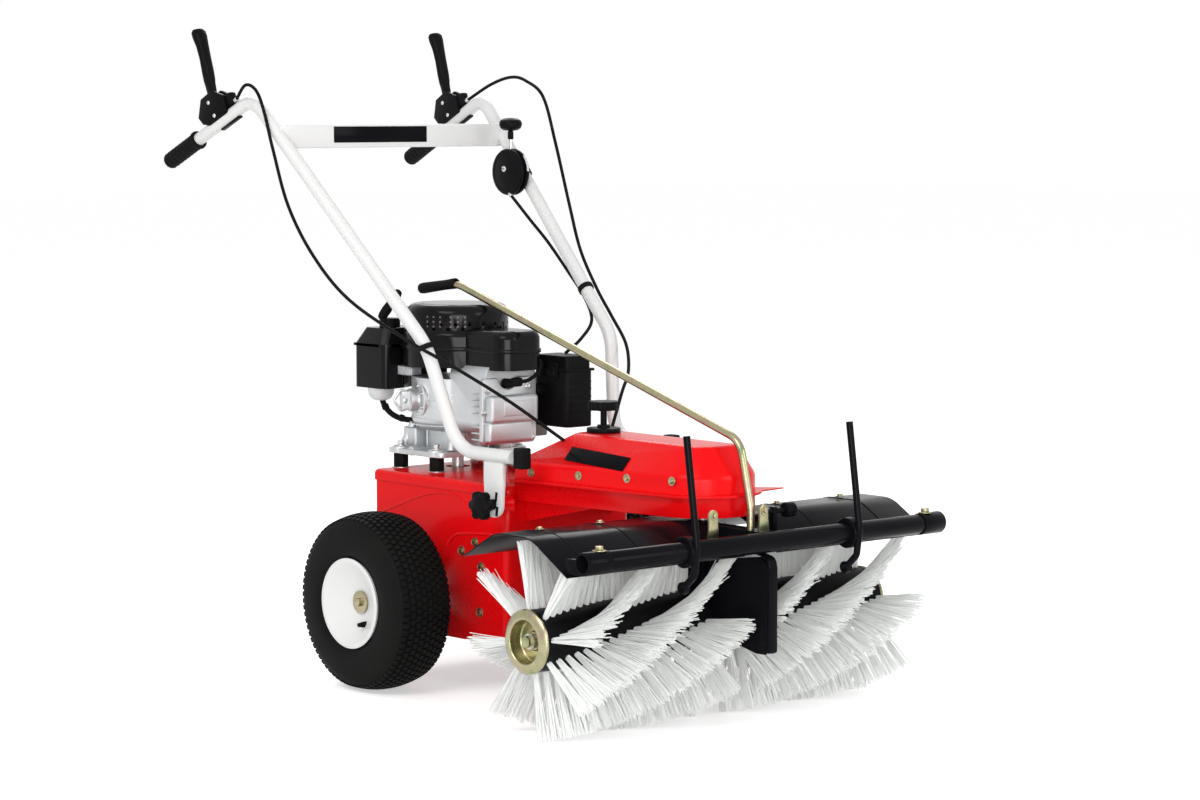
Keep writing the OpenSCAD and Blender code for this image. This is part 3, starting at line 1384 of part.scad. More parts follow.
placed() {
    tyre(-1);  // right_tyre
    rim(-1);  // right_rim
    hub_cap(-1);  // right_hub_cap
    half_axle(-1);  // right_half_axle
    tyre(1);  // left_tyre
    rim(1);  // left_rim
    hub_cap(1);  // left_hub_cap
    half_axle(1);  // left_half_axle
    chassis_body();
    deck_lid();
    axle_gearbox();
    boom_trough();
    belt_cover();
    cover_screws();
    handlebar_brackets();
    swivel_spigot();
    engine_mounts();
    crankcase();
    cylinder_head();
    engine_shroud();
    recoil_cowl();
    fuel_tank();
    air_cleaner();
    muffler();
    crankshaft();
    brush_belt();
    axle_belt();
    axle_pulley();
    starter_grip();
    fuel_cap();
    oil_cap();
    adjuster_base();
    adjuster_handwheel();
    swivel_collar();
    front_tube();
    right_hood();
    left_hood();
    hood_brackets();
    brush_gearbox();
    gearbox_guard();
    swivel_lever();
    swivel_lever_grip();
    hook(-1);  // right_hook
    hook(1);  // left_hook
    drive_shaft();
    brush_shaft();
    brush_core();
    brush_discs();
    right_bristles();
    left_bristles();
    handlebar_frame();
    hand_grips();
    lever_mounts();
    right_clutch_lever();
    left_clutch_lever();
    throttle_housing();
    throttle_lever();
    star_knob(-1);  // right_star_knob
    star_knob(1);  // left_star_knob
    control_cables();
}
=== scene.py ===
import json
from math import asin, atan, ceil, cos, pi, radians, sin, sqrt, tan, tau
import random

import bmesh
import bpy
from mathutils import Matrix, Vector
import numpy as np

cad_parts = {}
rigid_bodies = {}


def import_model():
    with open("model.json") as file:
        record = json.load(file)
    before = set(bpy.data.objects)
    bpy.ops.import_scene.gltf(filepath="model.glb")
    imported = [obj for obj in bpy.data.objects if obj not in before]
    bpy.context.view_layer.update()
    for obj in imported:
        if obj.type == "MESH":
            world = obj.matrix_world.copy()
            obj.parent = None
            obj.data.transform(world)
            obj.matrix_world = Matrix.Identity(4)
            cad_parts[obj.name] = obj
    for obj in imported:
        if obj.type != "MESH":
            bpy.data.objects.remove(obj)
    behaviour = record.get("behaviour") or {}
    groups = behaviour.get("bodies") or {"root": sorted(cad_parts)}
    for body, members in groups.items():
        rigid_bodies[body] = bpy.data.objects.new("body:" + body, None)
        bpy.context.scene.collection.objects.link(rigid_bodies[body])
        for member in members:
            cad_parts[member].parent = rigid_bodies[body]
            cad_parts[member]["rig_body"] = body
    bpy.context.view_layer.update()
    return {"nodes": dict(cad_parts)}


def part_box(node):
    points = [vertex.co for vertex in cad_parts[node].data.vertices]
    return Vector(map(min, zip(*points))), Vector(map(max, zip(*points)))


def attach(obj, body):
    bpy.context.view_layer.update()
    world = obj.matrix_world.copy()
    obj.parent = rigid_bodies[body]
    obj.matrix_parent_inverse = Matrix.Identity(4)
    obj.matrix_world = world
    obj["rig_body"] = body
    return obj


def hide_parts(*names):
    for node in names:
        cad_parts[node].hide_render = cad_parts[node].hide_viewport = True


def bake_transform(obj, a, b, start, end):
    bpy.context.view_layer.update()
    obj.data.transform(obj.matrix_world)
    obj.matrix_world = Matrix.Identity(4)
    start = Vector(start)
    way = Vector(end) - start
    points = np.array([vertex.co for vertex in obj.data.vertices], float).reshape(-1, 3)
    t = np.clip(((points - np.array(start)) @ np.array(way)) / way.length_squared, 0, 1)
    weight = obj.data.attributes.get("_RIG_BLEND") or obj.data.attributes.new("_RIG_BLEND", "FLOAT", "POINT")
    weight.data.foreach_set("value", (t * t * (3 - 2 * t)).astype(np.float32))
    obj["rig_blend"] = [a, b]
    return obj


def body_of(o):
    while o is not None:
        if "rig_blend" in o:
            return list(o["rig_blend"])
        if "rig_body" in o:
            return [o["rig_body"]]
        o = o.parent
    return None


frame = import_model()

MM = 0.001
# The shared origin stands this far ahead of the wheel axle.
AXLE_BACK = 0.072

# Camera of the photograph, measured from the ground point under the wheel axle.
CAMERA_PLACE = Vector((4.8237 - AXLE_BACK, -3.9516, 1.0762))
CAMERA_AZIMUTH = radians(48.8)
CAMERA_DROP = radians(5.1)
CAMERA_LENS = 99.1

AHEAD = Vector((1, 0, 0))
UP = Vector((0, 0, 1))
RIGHT, LEFT = -1, 1
SIDES = {"right": RIGHT, "left": LEFT}

# Driving places, in millimetres from the ground point under the wheel axle.
WHEEL_Y, WHEEL_Z = 280, 165
BRUSH_X, BRUSH_Z, BRUSH_R = 583, 172, 172
BRUSH_INNER, BRUSH_OUTER = 28, 400
BRUSH_HALF = BRUSH_OUTER - BRUSH_INNER
TUBE_X, TUBE_Z, TUBE_R = 754, 324, 18
HOOK_Y = 195
SIDE_Y = 150
ENGINE_X = -105
SHROUD_LOW, SHROUD_TOP = 582, 656
BAR_R = 12.5
CABLE_R = 3.2


def at(x, y, z):
    """A point in millimetres from under the wheel axle, as a place in the shared frame."""
    return Vector((x * MM - AXLE_BACK, y * MM, z * MM))


def step_by(x, y, z):
    """A step in millimetres, as a vector of the shared frame."""
    return Vector((x * MM, y * MM, z * MM))


def aim(place, way, up=None):
    """The matrix that carries local Z onto way and the origin to place."""
    way = Vector(way).normalized()
    if up is None:
        return Matrix.Translation(place) @ way.to_track_quat("Z", "Y").to_matrix().to_4x4()
    across = Vector(up).cross(way).normalized()
    turn = Matrix((across, way.cross(across), way)).transposed().to_4x4()
    return Matrix.Translation(place) @ turn


def scaled(x, y, z):
    return Matrix.Diagonal((x * MM, y * MM, z * MM, 1.0))


# Surface finishes

def set_inputs(node, values):
    for name, value in values.items():
        node.inputs[name].default_value = value


def add_node(tree, kind, values=None):
    """A node of the kind, with the given values on its inputs."""
    node = tree.nodes.new("ShaderNode" + kind)
    set_inputs(node, values or {})
    return node


def wire(tree, *joins):
    """Join outputs to inputs; a join names a node and its output, then a node and its input."""
    for source, output, target, socket in joins:
        tree.links.new(source.outputs[output], target.inputs[socket])


def new_group(name, inputs, outputs):
    """An empty node group with its sockets: colours where the name says so, else numbers."""
    group = bpy.data.node_groups.new(name, "ShaderNodeTree")
    for way, sockets in (("INPUT", inputs), ("OUTPUT", outputs)):
        for socket in sockets:
            kind = "NodeSocketColor" if "Colour" in socket else "NodeSocketFloat"
            group.interface.new_socket(socket, in_out=way, socket_type=kind)
    return group


def surface_grain():
    """Slow colour drift, fine grain and the roughness that goes with it."""
    group = new_group("surface_grain",
                      ("Colour", "Drift Colour", "Drift Scale", "Grain Scale", "Smoothest", "Roughest"),
                      ("Colour", "Roughness", "Height"))
    given = group.nodes.new("NodeGroupInput")
    result = group.nodes.new("NodeGroupOutput")
    place = add_node(group, "TexCoord")
    drift = add_node(group, "TexNoise", {"Detail": 3.0})
    grain = add_node(group, "TexNoise", {"Detail": 2.0})
    mix = add_node(group, "Mix")
    mix.data_type = "RGBA"
    spread = add_node(group, "MapRange", {"From Min": 0.3, "From Max": 0.7})
    blend = add_node(group, "Math", {1: 0.5})
    blend.operation = "MULTIPLY_ADD"
    rough = add_node(group, "MapRange", {"From Min": 0.45, "From Max": 0.95})
    wire(group, (place, "Object", drift, "Vector"), (place, "Object", grain, "Vector"),
         (given, "Drift Scale", drift, "Scale"), (given, "Grain Scale", grain, "Scale"),
         (drift, "Fac", spread, "Value"), (spread, "Result", mix, "Factor"),
         (given, "Colour", mix, "A"), (given, "Drift Colour", mix, "B"),
         (grain, "Fac", blend, 0), (drift, "Fac", blend, 2), (blend, "Value", rough, "Value"),
         (given, "Smoothest", rough, "To Min"), (given, "Roughest", rough, "To Max"),
         (mix, "Result", result, "Colour"), (rough, "Result", result, "Roughness"),
         (grain, "Fac", result, "Height"))
    return group


def zinc_film():
    """The rainbow film of a passivated zinc skin: gold that drifts to green and pink."""
    group = new_group("zinc_film", ("Scale",), ("Colour",))
    given = group.nodes.new("NodeGroupInput")
    result = group.nodes.new("NodeGroupOutput")
    place = add_node(group, "TexCoord")
    film = add_node(group, "TexNoise", {"Detail": 3.0, "Distortion": 1.2})
    ramp = add_node(group, "ValToRGB")
    tones = [(0.30, (0.24, 0.29, 0.16, 1)), (0.42, (0.34, 0.33, 0.19, 1)), (0.54, (0.39, 0.35, 0.22, 1)),
             (0.64, (0.36, 0.28, 0.21, 1)), (0.74, (0.25, 0.31, 0.20, 1))]
    while len(ramp.color_ramp.elements) < len(tones):
        ramp.color_ramp.elements.new(0.5)
    for element, (spot, tone) in zip(ramp.color_ramp.elements, tones):
        element.position = spot
        element.color = tone
    wire(group, (place, "Object", film, "Vector"), (given, "Scale", film, "Scale"),
         (film, "Fac", ramp, "Fac"), (ramp, "Color", result, "Colour"))
    return group


GRAIN = surface_grain()
FILM = zinc_film()
FINISHES = {}


def make_finish(name, colour, drift, drift_scale, grain_scale, smoothest, roughest, bump,
                metallic=0.0, specular=0.5, translucent=0.0, glow=0.0, film=False):
    """A surface of the part; colour drifts to the drift colour, and roughness between two bounds."""
    material = bpy.data.materials.new(name)
    material.use_nodes = True
    tree = material.node_tree
    shader = tree.nodes["Principled BSDF"]
    # glow makes a surface give off light of its own colour: painted light
    set_inputs(shader, {"Metallic": metallic, "Specular IOR Level": specular,
                        "Subsurface Weight": translucent, "Subsurface Radius": (1.0, 1.0, 1.0),
                        "Subsurface Scale": 0.01, "Emission Color": (*colour, 1.0),
                        "Emission Strength": glow})
    grain = add_node(tree, "Group")
    grain.node_tree = GRAIN
    set_inputs(grain, {"Colour": (*colour, 1.0), "Drift Colour": (*drift, 1.0), "Drift Scale": drift_scale,
                       "Grain Scale": grain_scale, "Smoothest": smoothest, "Roughest": roughest})
    relief = add_node(tree, "Bump", {"Strength": bump, "Distance": 0.0005})
    skin = grain
    if film:
        skin = add_node(tree, "Group")
        skin.node_tree = FILM
        set_inputs(skin, {"Scale": drift_scale})
    wire(tree, (skin, "Colour", shader, "Base Color"), (grain, "Roughness", shader, "Roughness"),
         (grain, "Height", relief, "Height"), (relief, "Normal", shader, "Normal"))
    FINISHES[name] = material


make_finish("red_paint", (0.77, 0.003, 0.005), (0.71, 0.002, 0.004), 3, 260, 0.18, 0.32, 0.02,
            specular=0.11)
make_finish("white_paint", (0.70, 0.70, 0.69), (0.66, 0.665, 0.66), 5, 300, 0.24, 0.40, 0.03,
            specular=0.4)
make_finish("black_paint", (0.0035, 0.0035, 0.0045), (0.006, 0.006, 0.008), 6, 320, 0.10, 0.24, 0.03,
            specular=0.035)
make_finish("yellow_zinc", (0.62, 0.52, 0.28), (0.56, 0.46, 0.24), 26, 500, 0.18, 0.38, 0.03,
            metallic=1.0, film=True)
make_finish("steel", (0.62, 0.62, 0.61), (0.50, 0.50, 0.50), 18, 700, 0.22, 0.45, 0.04,
            metallic=1.0)
make_finish("casting", (0.60, 0.615, 0.625), (0.50, 0.52, 0.53), 9, 900, 0.36, 0.56, 0.10,
            metallic=0.8)
make_finish("black_plastic", (0.004, 0.004, 0.0045), (0.007, 0.007, 0.008), 9, 1100, 0.26, 0.46, 0.08,
            specular=0.045)
make_finish("grey_plastic", (0.62, 0.64, 0.64), (0.55, 0.57, 0.57), 9, 900, 0.30, 0.48, 0.06)
make_finish("rubber", (0.005, 0.005, 0.005), (0.009, 0.009, 0.0085), 14, 1300, 0.48, 0.72, 0.12,
            specular=0.05)
make_finish("tyre", (0.0045, 0.0045, 0.0045), (0.009, 0.009, 0.0085), 10, 900, 0.42, 0.68, 0.10,
            specular=0.05)
make_finish("muffler_steel", (0.10, 0.09, 0.085), (0.18, 0.15, 0.13), 14, 600, 0.40, 0.65, 0.10,
            metallic=0.9)
# painted light: the bristles glow a little, standing in for light that wanders between the strands
make_finish("bristle", (0.95, 0.96, 0.94), (0.89, 0.91, 0.89), 60, 900, 0.25, 0.42, 0.03,
            specular=0.35, translucent=0.5, glow=0.035)
# the moulded covers of the engine shine more than the other black plastic
make_finish("glossy_cover", (0.0035, 0.0035, 0.004), (0.006, 0.006, 0.007), 7, 900, 0.10, 0.20, 0.02,
            specular=0.12)


# Modelling helpers

def put(name, data):
    """A new object in the scene."""
    obj = bpy.data.objects.new(name, data)
    bpy.context.scene.collection.objects.link(obj)
    return obj


def dress(name, mesh, body, finish, smooth=32, replaces=()):
    """Make a finished mesh a piece of the object."""
    mesh.materials.clear()
    mesh.materials.append(FINISHES[finish])
    mesh.shade_smooth()
    mesh.set_sharp_from_angle(angle=radians(smooth))
    obj = put(name, mesh)
    if body:
        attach(obj, body)
    if replaces:
        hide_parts(*replaces)
    return obj


def mesh_of(name, bm):
    mesh = bpy.data.meshes.new(name)
    bm.to_mesh(mesh)
    bm.free()
    return mesh


def piece(name, bm, body, finish, smooth=32, replaces=()):
    return dress(name, mesh_of(name, bm), body, finish, smooth, replaces)


def bevel(bm, edges, width, segments=2, clamp=True):
    bmesh.ops.bevel(bm, geom=edges, offset=width * MM, offset_type="OFFSET", segments=segments,
                    profile=0.5, affect="EDGES", clamp_overlap=clamp, material=-1)


def edges_of(verts):
    chosen = set(verts)
    return [edge for edge in {e for v in verts for e in v.link_edges}
            if edge.verts[0] in chosen and edge.verts[1] in chosen]


def sharper(edges, degrees):
    return [edge for edge in edges if edge.calc_face_angle() > radians(degrees)]


def added(bm, known):
    """The vertices that were not there before."""
    return [v for v in bm.verts if v not in known]


def face_outward(bm, verts):
    bmesh.ops.recalc_face_normals(bm, faces=list({f for v in verts for f in v.link_faces}))


def softened(node, finish, width=1.2, segments=2, corner=30, pick=None, clamp=True):
    """A copy of a CAD node with its sharp outer edges rounded, in the node's place."""
    bm = bmesh.new()
    bm.from_mesh(frame["nodes"][node].data)
    bmesh.ops.remove_doubles(bm, verts=bm.verts, dist=1e-6)
    bmesh.ops.dissolve_limit(bm, angle_limit=radians(1.0), verts=bm.verts, edges=bm.edges,
                             use_dissolve_boundaries=False)
    outer = [edge for edge in bm.edges if len(edge.link_faces) == 2 and edge.is_convex
             and (pick is None or pick(edge))]
    bevel(bm, sharper(outer, corner), width, segments, clamp)
    body = body_of(frame["nodes"][node])[0]
    return piece(node + "_finished", bm, body, finish, replaces=[node])


def turned(profile, place, way, steps=48, bm=None):
    """A shape turned about the line through place along way; profile holds (radius, height) pairs."""
    bm = bm or bmesh.new()
    verts = [bm.verts.new((radius * MM, 0, height * MM)) for radius, height in profile]
    edges = [bm.edges.new(pair) for pair in zip(verts, verts[1:])]
    if profile[0][0] > 0 and profile[-1][0] > 0:
        edges.append(bm.edges.new((verts[-1], verts[0])))
    known = set(bm.verts) - set(verts)
    bmesh.ops.spin(bm, geom=verts + edges, cent=(0, 0, 0), axis=(0, 0, 1), dvec=(0, 0, 0),
                   angle=2 * pi, steps=steps, use_merge=True)
    bmesh.ops.remove_doubles(bm, verts=added(bm, known), dist=1e-6)
    made = added(bm, known)
    face_outward(bm, made)
    bmesh.ops.transform(bm, matrix=aim(place, way), verts=made)
    return bm


def add_rod(bm, start, stop, radius, steps=20, end_radius=None, edge=0.0):
    """A round bar between two places, its end edges rounded by edge."""
    way = Vector(stop) - Vector(start)
    made = bmesh.ops.create_cone(bm, cap_ends=True, segments=steps, radius1=radius * MM,
                                 radius2=(end_radius or radius) * MM, depth=way.length,
                                 matrix=aim((Vector(start) + Vector(stop)) / 2, way))
    if edge:
        bevel(bm, sharper(edges_of(made["verts"]), 50), edge, 3)


def add_block(bm, size, place, turn=None, edge=1.0, segments=2):
    """A rounded block of the size in millimetres, centred on place."""
    matrix = Matrix.Translation(place) @ (turn or Matrix.Identity(4)) @ scaled(*size)
    made = bmesh.ops.create_cube(bm, size=1.0, matrix=matrix)
    if edge:
        bevel(bm, edges_of(made["verts"]), edge, segments)


def add_plate(bm, outline, depth, matrix, edge=0.0, segments=2):
    """A plate cut to an outline of (x, y) pairs and raised by depth, in millimetres."""
    known = set(bm.verts)
    face = bm.faces.new([bm.verts.new((x * MM, y * MM, 0)) for x, y in outline])
    lifted = bmesh.ops.extrude_face_region(bm, geom=[face])["geom"]
    top = [v for v in lifted if isinstance(v, bmesh.types.BMVert)]
    bmesh.ops.translate(bm, vec=(0, 0, depth * MM), verts=top)
    made = added(bm, known)
    face_outward(bm, made)
    if edge:
        bevel(bm, sharper(edges_of(made), 40), edge, segments)
    bmesh.ops.transform(bm, matrix=matrix, verts=added(bm, known))


# distance from the middle of a hexagon to its corners, as a share of its width across flats
HEX_CORNER = 0.577


def add_bolt(bm, place, way, across, head, washer):
    """A hexagon bolt head that stands on place and points along way, with its washer."""
    way = Vector(way).normalized()
    add_rod(bm, place, place + way * 1.6 * MM, washer, 24, edge=0.4)
    start = place + way * 1.5 * MM
    made = bmesh.ops.create_cone(bm, cap_ends=True, segments=6, radius1=across * HEX_CORNER * MM,
                                 radius2=across * HEX_CORNER * MM, depth=head * MM,
                                 matrix=aim(start + way * head / 2 * MM, way))
    bevel(bm, edges_of(made["verts"]), 0.6, 2)


def arc(x, y, radius, first, steps):
    """Points of a half circle about (x, y), without its first one."""
    turns = [first + pi * step / steps for step in range(1, steps + 1)]
    return [(x + radius * cos(turn), y + radius * sin(turn)) for turn in turns]


def rounded(route, radii, steps=10):
    """A route with each inner corner rounded to its radius."""
    points = [route[0]]
    for before, corner, after, radius in zip(route, route[1:], route[2:], radii):
        toward, away = (before - corner).normalized(), (after - corner).normalized()
        half = toward.angle(away) / 2
        turn = pi - 2 * half
        middle = corner + (toward + away).normalized() * radius * MM / sin(half)
        start = corner + toward * radius * MM / tan(half) - middle
        stop = corner + away * radius * MM / tan(half) - middle
        for step in range(steps + 1):
            share = step / steps
            points.append(middle + (start * sin((1 - share) * turn)
                                    + stop * sin(share * turn)) / sin(turn))
    return even(points + [route[-1]])


def even(route, spacing=30.0):
    """A route with points added so that no stretch is longer than spacing."""
    points = [route[0]]
    for a, b in zip(route, route[1:]):
        count = max(1, ceil((b - a).length / (spacing * MM)))
        points += [a.lerp(b, step / count) for step in range(1, count + 1)]
    return points


def flowing(route, steps=8):
    """A smooth curve through every point of a route."""
    ends = [route[0] * 2 - route[1]] + route + [route[-1] * 2 - route[-2]]
    points = []
    for a, b, c, d in zip(ends, ends[1:], ends[2:], ends[3:]):
        for step in range(steps):
            t = step / steps
            points.append(0.5 * (2 * b + (c - a) * t + (2 * a - 5 * b + 4 * c - d) * t * t
                                 + (3 * b - a - 3 * c + d) * t ** 3))
    return points + [route[-1]]


def swept(routes, radius, roundness=6, radii=None):
    """The mesh of round bars swept along routes; radii gives each point's share of the radius."""
    curve = bpy.data.curves.new("sweep", "CURVE")
    curve.dimensions = "3D"
    curve.bevel_depth = radius * MM
    curve.bevel_resolution = roundness
    curve.use_fill_caps = True
    for route in routes:
        spline = curve.splines.new("POLY")
        spline.points.add(len(route) - 1)
        for index, (point, place) in enumerate(zip(spline.points, route)):
            point.co = (*place, 1.0)
            point.radius = radii[index] if radii else 1.0
    holder = put("sweep", curve)
    depsgraph = bpy.context.evaluated_depsgraph_get()
    mesh = bpy.data.meshes.new_from_object(holder.evaluated_get(depsgraph))
    bpy.data.objects.remove(holder)
    bpy.data.curves.remove(curve)
    return mesh


def oval(place, across, deep, wide, thick):
    """The matrix that lays a unit circle at place, wide along across and thick along deep."""
    across, deep = Vector(across).normalized(), Vector(deep).normalized()
    matrix = Matrix((across * wide * MM, deep * thick * MM, across.cross(deep))).transposed().to_4x4()
    return Matrix.Translation(place) @ matrix


def add_loft(bm, ovals, steps=20):
    """A closed skin over a row of ovals."""
    known = set(bm.verts)
    loops = []
    for matrix in ovals:
        ring = bmesh.ops.create_circle(bm, cap_ends=False, radius=1.0, segments=steps, matrix=matrix)
        loops.append(edges_of(ring["verts"]))
    for loop, after in zip(loops, loops[1:]):
        bmesh.ops.bridge_loops(bm, edges=loop + after)
    for loop in (loops[0], loops[-1]):
        bmesh.ops.edgeloop_fill(bm, edges=loop)
    face_outward(bm, added(bm, known))


# Studio

def photo_camera():
    back = Vector((sin(CAMERA_AZIMUTH) * cos(CAMERA_DROP),
                   -cos(CAMERA_AZIMUTH) * cos(CAMERA_DROP),
                   sin(CAMERA_DROP)))
    data = bpy.data.cameras.new("photo_camera")
    data.sensor_width = 36.0
    data.lens = CAMERA_LENS
    camera = put("photo_camera", data)
    camera.location = CAMERA_PLACE
    camera.rotation_euler = back.to_track_quat("Z", "Y").to_euler()
    bpy.context.scene.camera = camera


def softbox(name, place, target, size, watts):
    data = bpy.data.lights.new(name, "AREA")
    data.shape = "RECTANGLE"
    data.size, data.size_y = size
    data.energy = watts
    lamp = put(name, data)
    lamp.location = place
    lamp.rotation_euler = (Vector(place) - Vector(target)).to_track_quat("Z", "Y").to_euler()


def seen_rays(tree):
    """A mask of the rays that show the studio: camera, mirror and glass rays."""
    path = add_node(tree, "LightPath")
    first = add_node(tree, "Math")
    first.operation = "MAXIMUM"
    both = add_node(tree, "Math")
    both.operation = "MAXIMUM"
    wire(tree, (path, "Is Camera Ray", first, 0), (path, "Is Glossy Ray", first, 1),
         (first, "Value", both, 0), (path, "Is Transmission Ray", both, 1))
    return both


# light from the white room, and how bright the room itself is seen
ROOM_LIGHT, ROOM_SEEN = 0.58, 1.0
FLOOR_HALF, FLOOR_GLOW = 30.0, 0.46


def studio():
    bpy.context.scene.view_settings.view_transform = "Standard"
    world = bpy.data.worlds.new("studio")
    bpy.context.scene.world = world
    world.use_nodes = True
    tree = world.node_tree
    background = tree.nodes["Background"]
    set_inputs(background, {"Color": (1.0, 1.0, 1.0, 1.0)})
    strength = add_node(tree, "MapRange", {"To Min": ROOM_LIGHT, "To Max": ROOM_SEEN})
    wire(tree, (seen_rays(tree), "Value", strength, "Value"), (strength, "Result", background, "Strength"))
    softbox("key_softbox", (1.2, -3.4, 3.2), (0.1, 0.0, 0.4), (2.4, 1.6), 70)
    softbox("fill_softbox", (4.4, 1.2, 1.8), (0.1, 0.0, 0.4), (1.6, 2.0), 45)
    softbox("low_softbox", (3.4, -2.6, 0.7), (0.5, 0.0, 0.15), (2.6, 1.0), 70)
    softbox("rear_softbox", (-2.4, 2.0, 3.2), (0.0, 0.0, 0.6), (2.0, 2.0), 60)


def studio_floor():
    bm = bmesh.new()
    bmesh.ops.create_grid(bm, x_segments=1, y_segments=1, size=FLOOR_HALF)
    mesh = mesh_of("floor", bm)
    material = bpy.data.materials.new("floor_white")
    material.use_nodes = True
    tree = material.node_tree
    shader = tree.nodes["Principled BSDF"]
    set_inputs(shader, {"Base Color": (0.92, 0.92, 0.92, 1.0), "Roughness": 1.0,
                        "Specular IOR Level": 0.0, "Emission Color": (1.0, 1.0, 1.0, 1.0)})
    glow = add_node(tree, "Math", {1: FLOOR_GLOW})
    glow.operation = "MULTIPLY"
    wire(tree, (seen_rays(tree), "Value", glow, 0), (glow, "Value", shader, "Emission Strength"))
    mesh.materials.append(material)
    put("floor", mesh)


# Control cables: outer casings that bend between the handlebar and the chassis

CABLE_ROUTES = {
    "right_clutch_cable": [(-425, -285, 1086), (-384, -292, 1114), (-350, -292, 1105), (-325, -292, 1068),
                           (-297, -290, 990), (-261, -282, 886), (-199, -270, 794), (-100, -262, 716),
                           (57, -251, 650), (151, -222, 607), (234, -150, 541), (296, -74, 470)],
    "left_clutch_cable": [(-425, 285, 1086), (-357, 292, 1118), (-291, 290, 1132), (-242, 288, 1124),
                          (-185, 284, 1092), (-140, 278, 1000), (-93, 272, 885), (-52, 266, 795),
                          (6, 258, 722), (58, 250, 672), (120, 232, 622), (172, 192, 575),
                          (212, 140, 540), (262, 66, 468)],
    "throttle_cable": [(-215, 226, 898.4), (-172, 240, 850), (-127, 247, 808), (-60, 243, 751),
                       (-8, 238, 706), (40, 215, 664), (66, 165, 632), (74, 120, 607.8)],
}


def control_cables():
    for name, route in CABLE_ROUTES.items():
        path = flowing([at(*point) for point in route])
        casing = dress(name, swept([path], CABLE_R, 5), None, "rubber", replaces=["control_cables"])
        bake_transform(casing, "chassis", "handlebar", start=path[-1], end=path[0])


# Wheels

TREAD_COLUMNS = range(-48, 49, 12)
TREAD_AROUND = 76
# size of a tread block, how deep its middle sits under the tread face, and its foot and top
BLOCK_SIZE, BLOCK_SINK = (10.0, 10.2, 6.6), 3.6
BLOCK_FOOT, BLOCK_TOP = 0.7071, 0.59
GROOVE_DEPTH = 4.5
# how fast the tread face falls away from the middle of the tyre
CROWN_FALL = 0.0033
VALVE_X, VALVE_Z = 28, 128


def crown_radius(offset):
    """Radius of the tread face at an offset from the middle of the tyre."""
    return WHEEL_Z - CROWN_FALL * offset * offset


def tyre(name, side):
    low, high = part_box(name + "_rim")
    bead = (high.z - low.z) / 2 / MM - 6
    wall = [(bead, 50), (bead + 4, 56), (bead + 12, 60), (bead + 24, 62), (bead + 36, 62),
            (138, 60.5), (146, 57.5), (152, 53)]
    crown = [(crown_radius(y) - GROOVE_DEPTH, y) for y in (48, 40, 30, 20, 10, 0)]
    half = wall + crown
    profile = half + [(radius, -y) for radius, y in reversed(half[:-1])]
    centre = at(0, side * WHEEL_Y, WHEEL_Z)
    bm = turned(profile, centre, (0, side, 0), 120)
    place = aim(centre, (0, side, 0))
    for column, offset in enumerate(TREAD_COLUMNS):
        middle = Matrix.Translation(((crown_radius(offset) - BLOCK_SINK) * MM, 0, offset * MM))
        lean = Matrix.Rotation(-atan(2 * CROWN_FALL * offset), 4, "Y")
        for step in range(TREAD_AROUND):
            turn = Matrix.Rotation(2 * pi * (step + column % 2 / 2) / TREAD_AROUND, 4, "Z")
            block = (place @ turn @ middle @ lean @ Matrix.Rotation(pi / 2, 4, "Y")
                     @ scaled(*BLOCK_SIZE) @ Matrix.Rotation(pi / 4, 4, "Z"))
            bmesh.ops.create_cone(bm, cap_ends=True, segments=4, radius1=BLOCK_FOOT, radius2=BLOCK_TOP,
                                  depth=1.0, matrix=block)
    piece(name + "_tyre_tread", bm, name + "_wheel", "tyre", replaces=[name + "_tyre"])


def wheels():
    for name, side in SIDES.items():
        tyre(name, side)
        softened(name + "_rim", "white_paint", 2.2, 3)
        softened(name + "_hub_cap", "yellow_zinc", 0.8, 2)
        stem = bmesh.new()
        outer = at(VALVE_X, side * 334, VALVE_Z)
        add_rod(stem, at(VALVE_X, side * 286, VALVE_Z), outer, 6.0, 20, 5.2, edge=0.5)
        add_rod(stem, outer, outer + step_by(0, side * 7, 0), 4.2, 16, edge=0.8)
        piece(name + "_valve_stem", stem, name + "_wheel", "rubber")


# Brush

TUFT_ROWS, TUFTS_IN_ROW, STRANDS_IN_TUFT = 8, 20, 40
CORE_R, CUP_R, CUP_DEPTH = 53.5, 41, 22
# where the rows start around the core, and how far they wind around it in half the brush
FIRST_ROW, HELIX_TURN = radians(5.5), radians(90)
TUFT_R, TUFT_SEAT_R, STRAND_START = 4.6, 56, 54
# how far the tips of a tuft fan out along the brush and around it, and how far they stray
FAN_ALONG, STRAY_ALONG = 11, 2.6
FAN_AROUND, STRAY_AROUND = 13, 3.0
TIP_GAP, TIP_WEAR = 0.4, 7
STRAND_R, TIP_SHARE = 0.85, 0.85


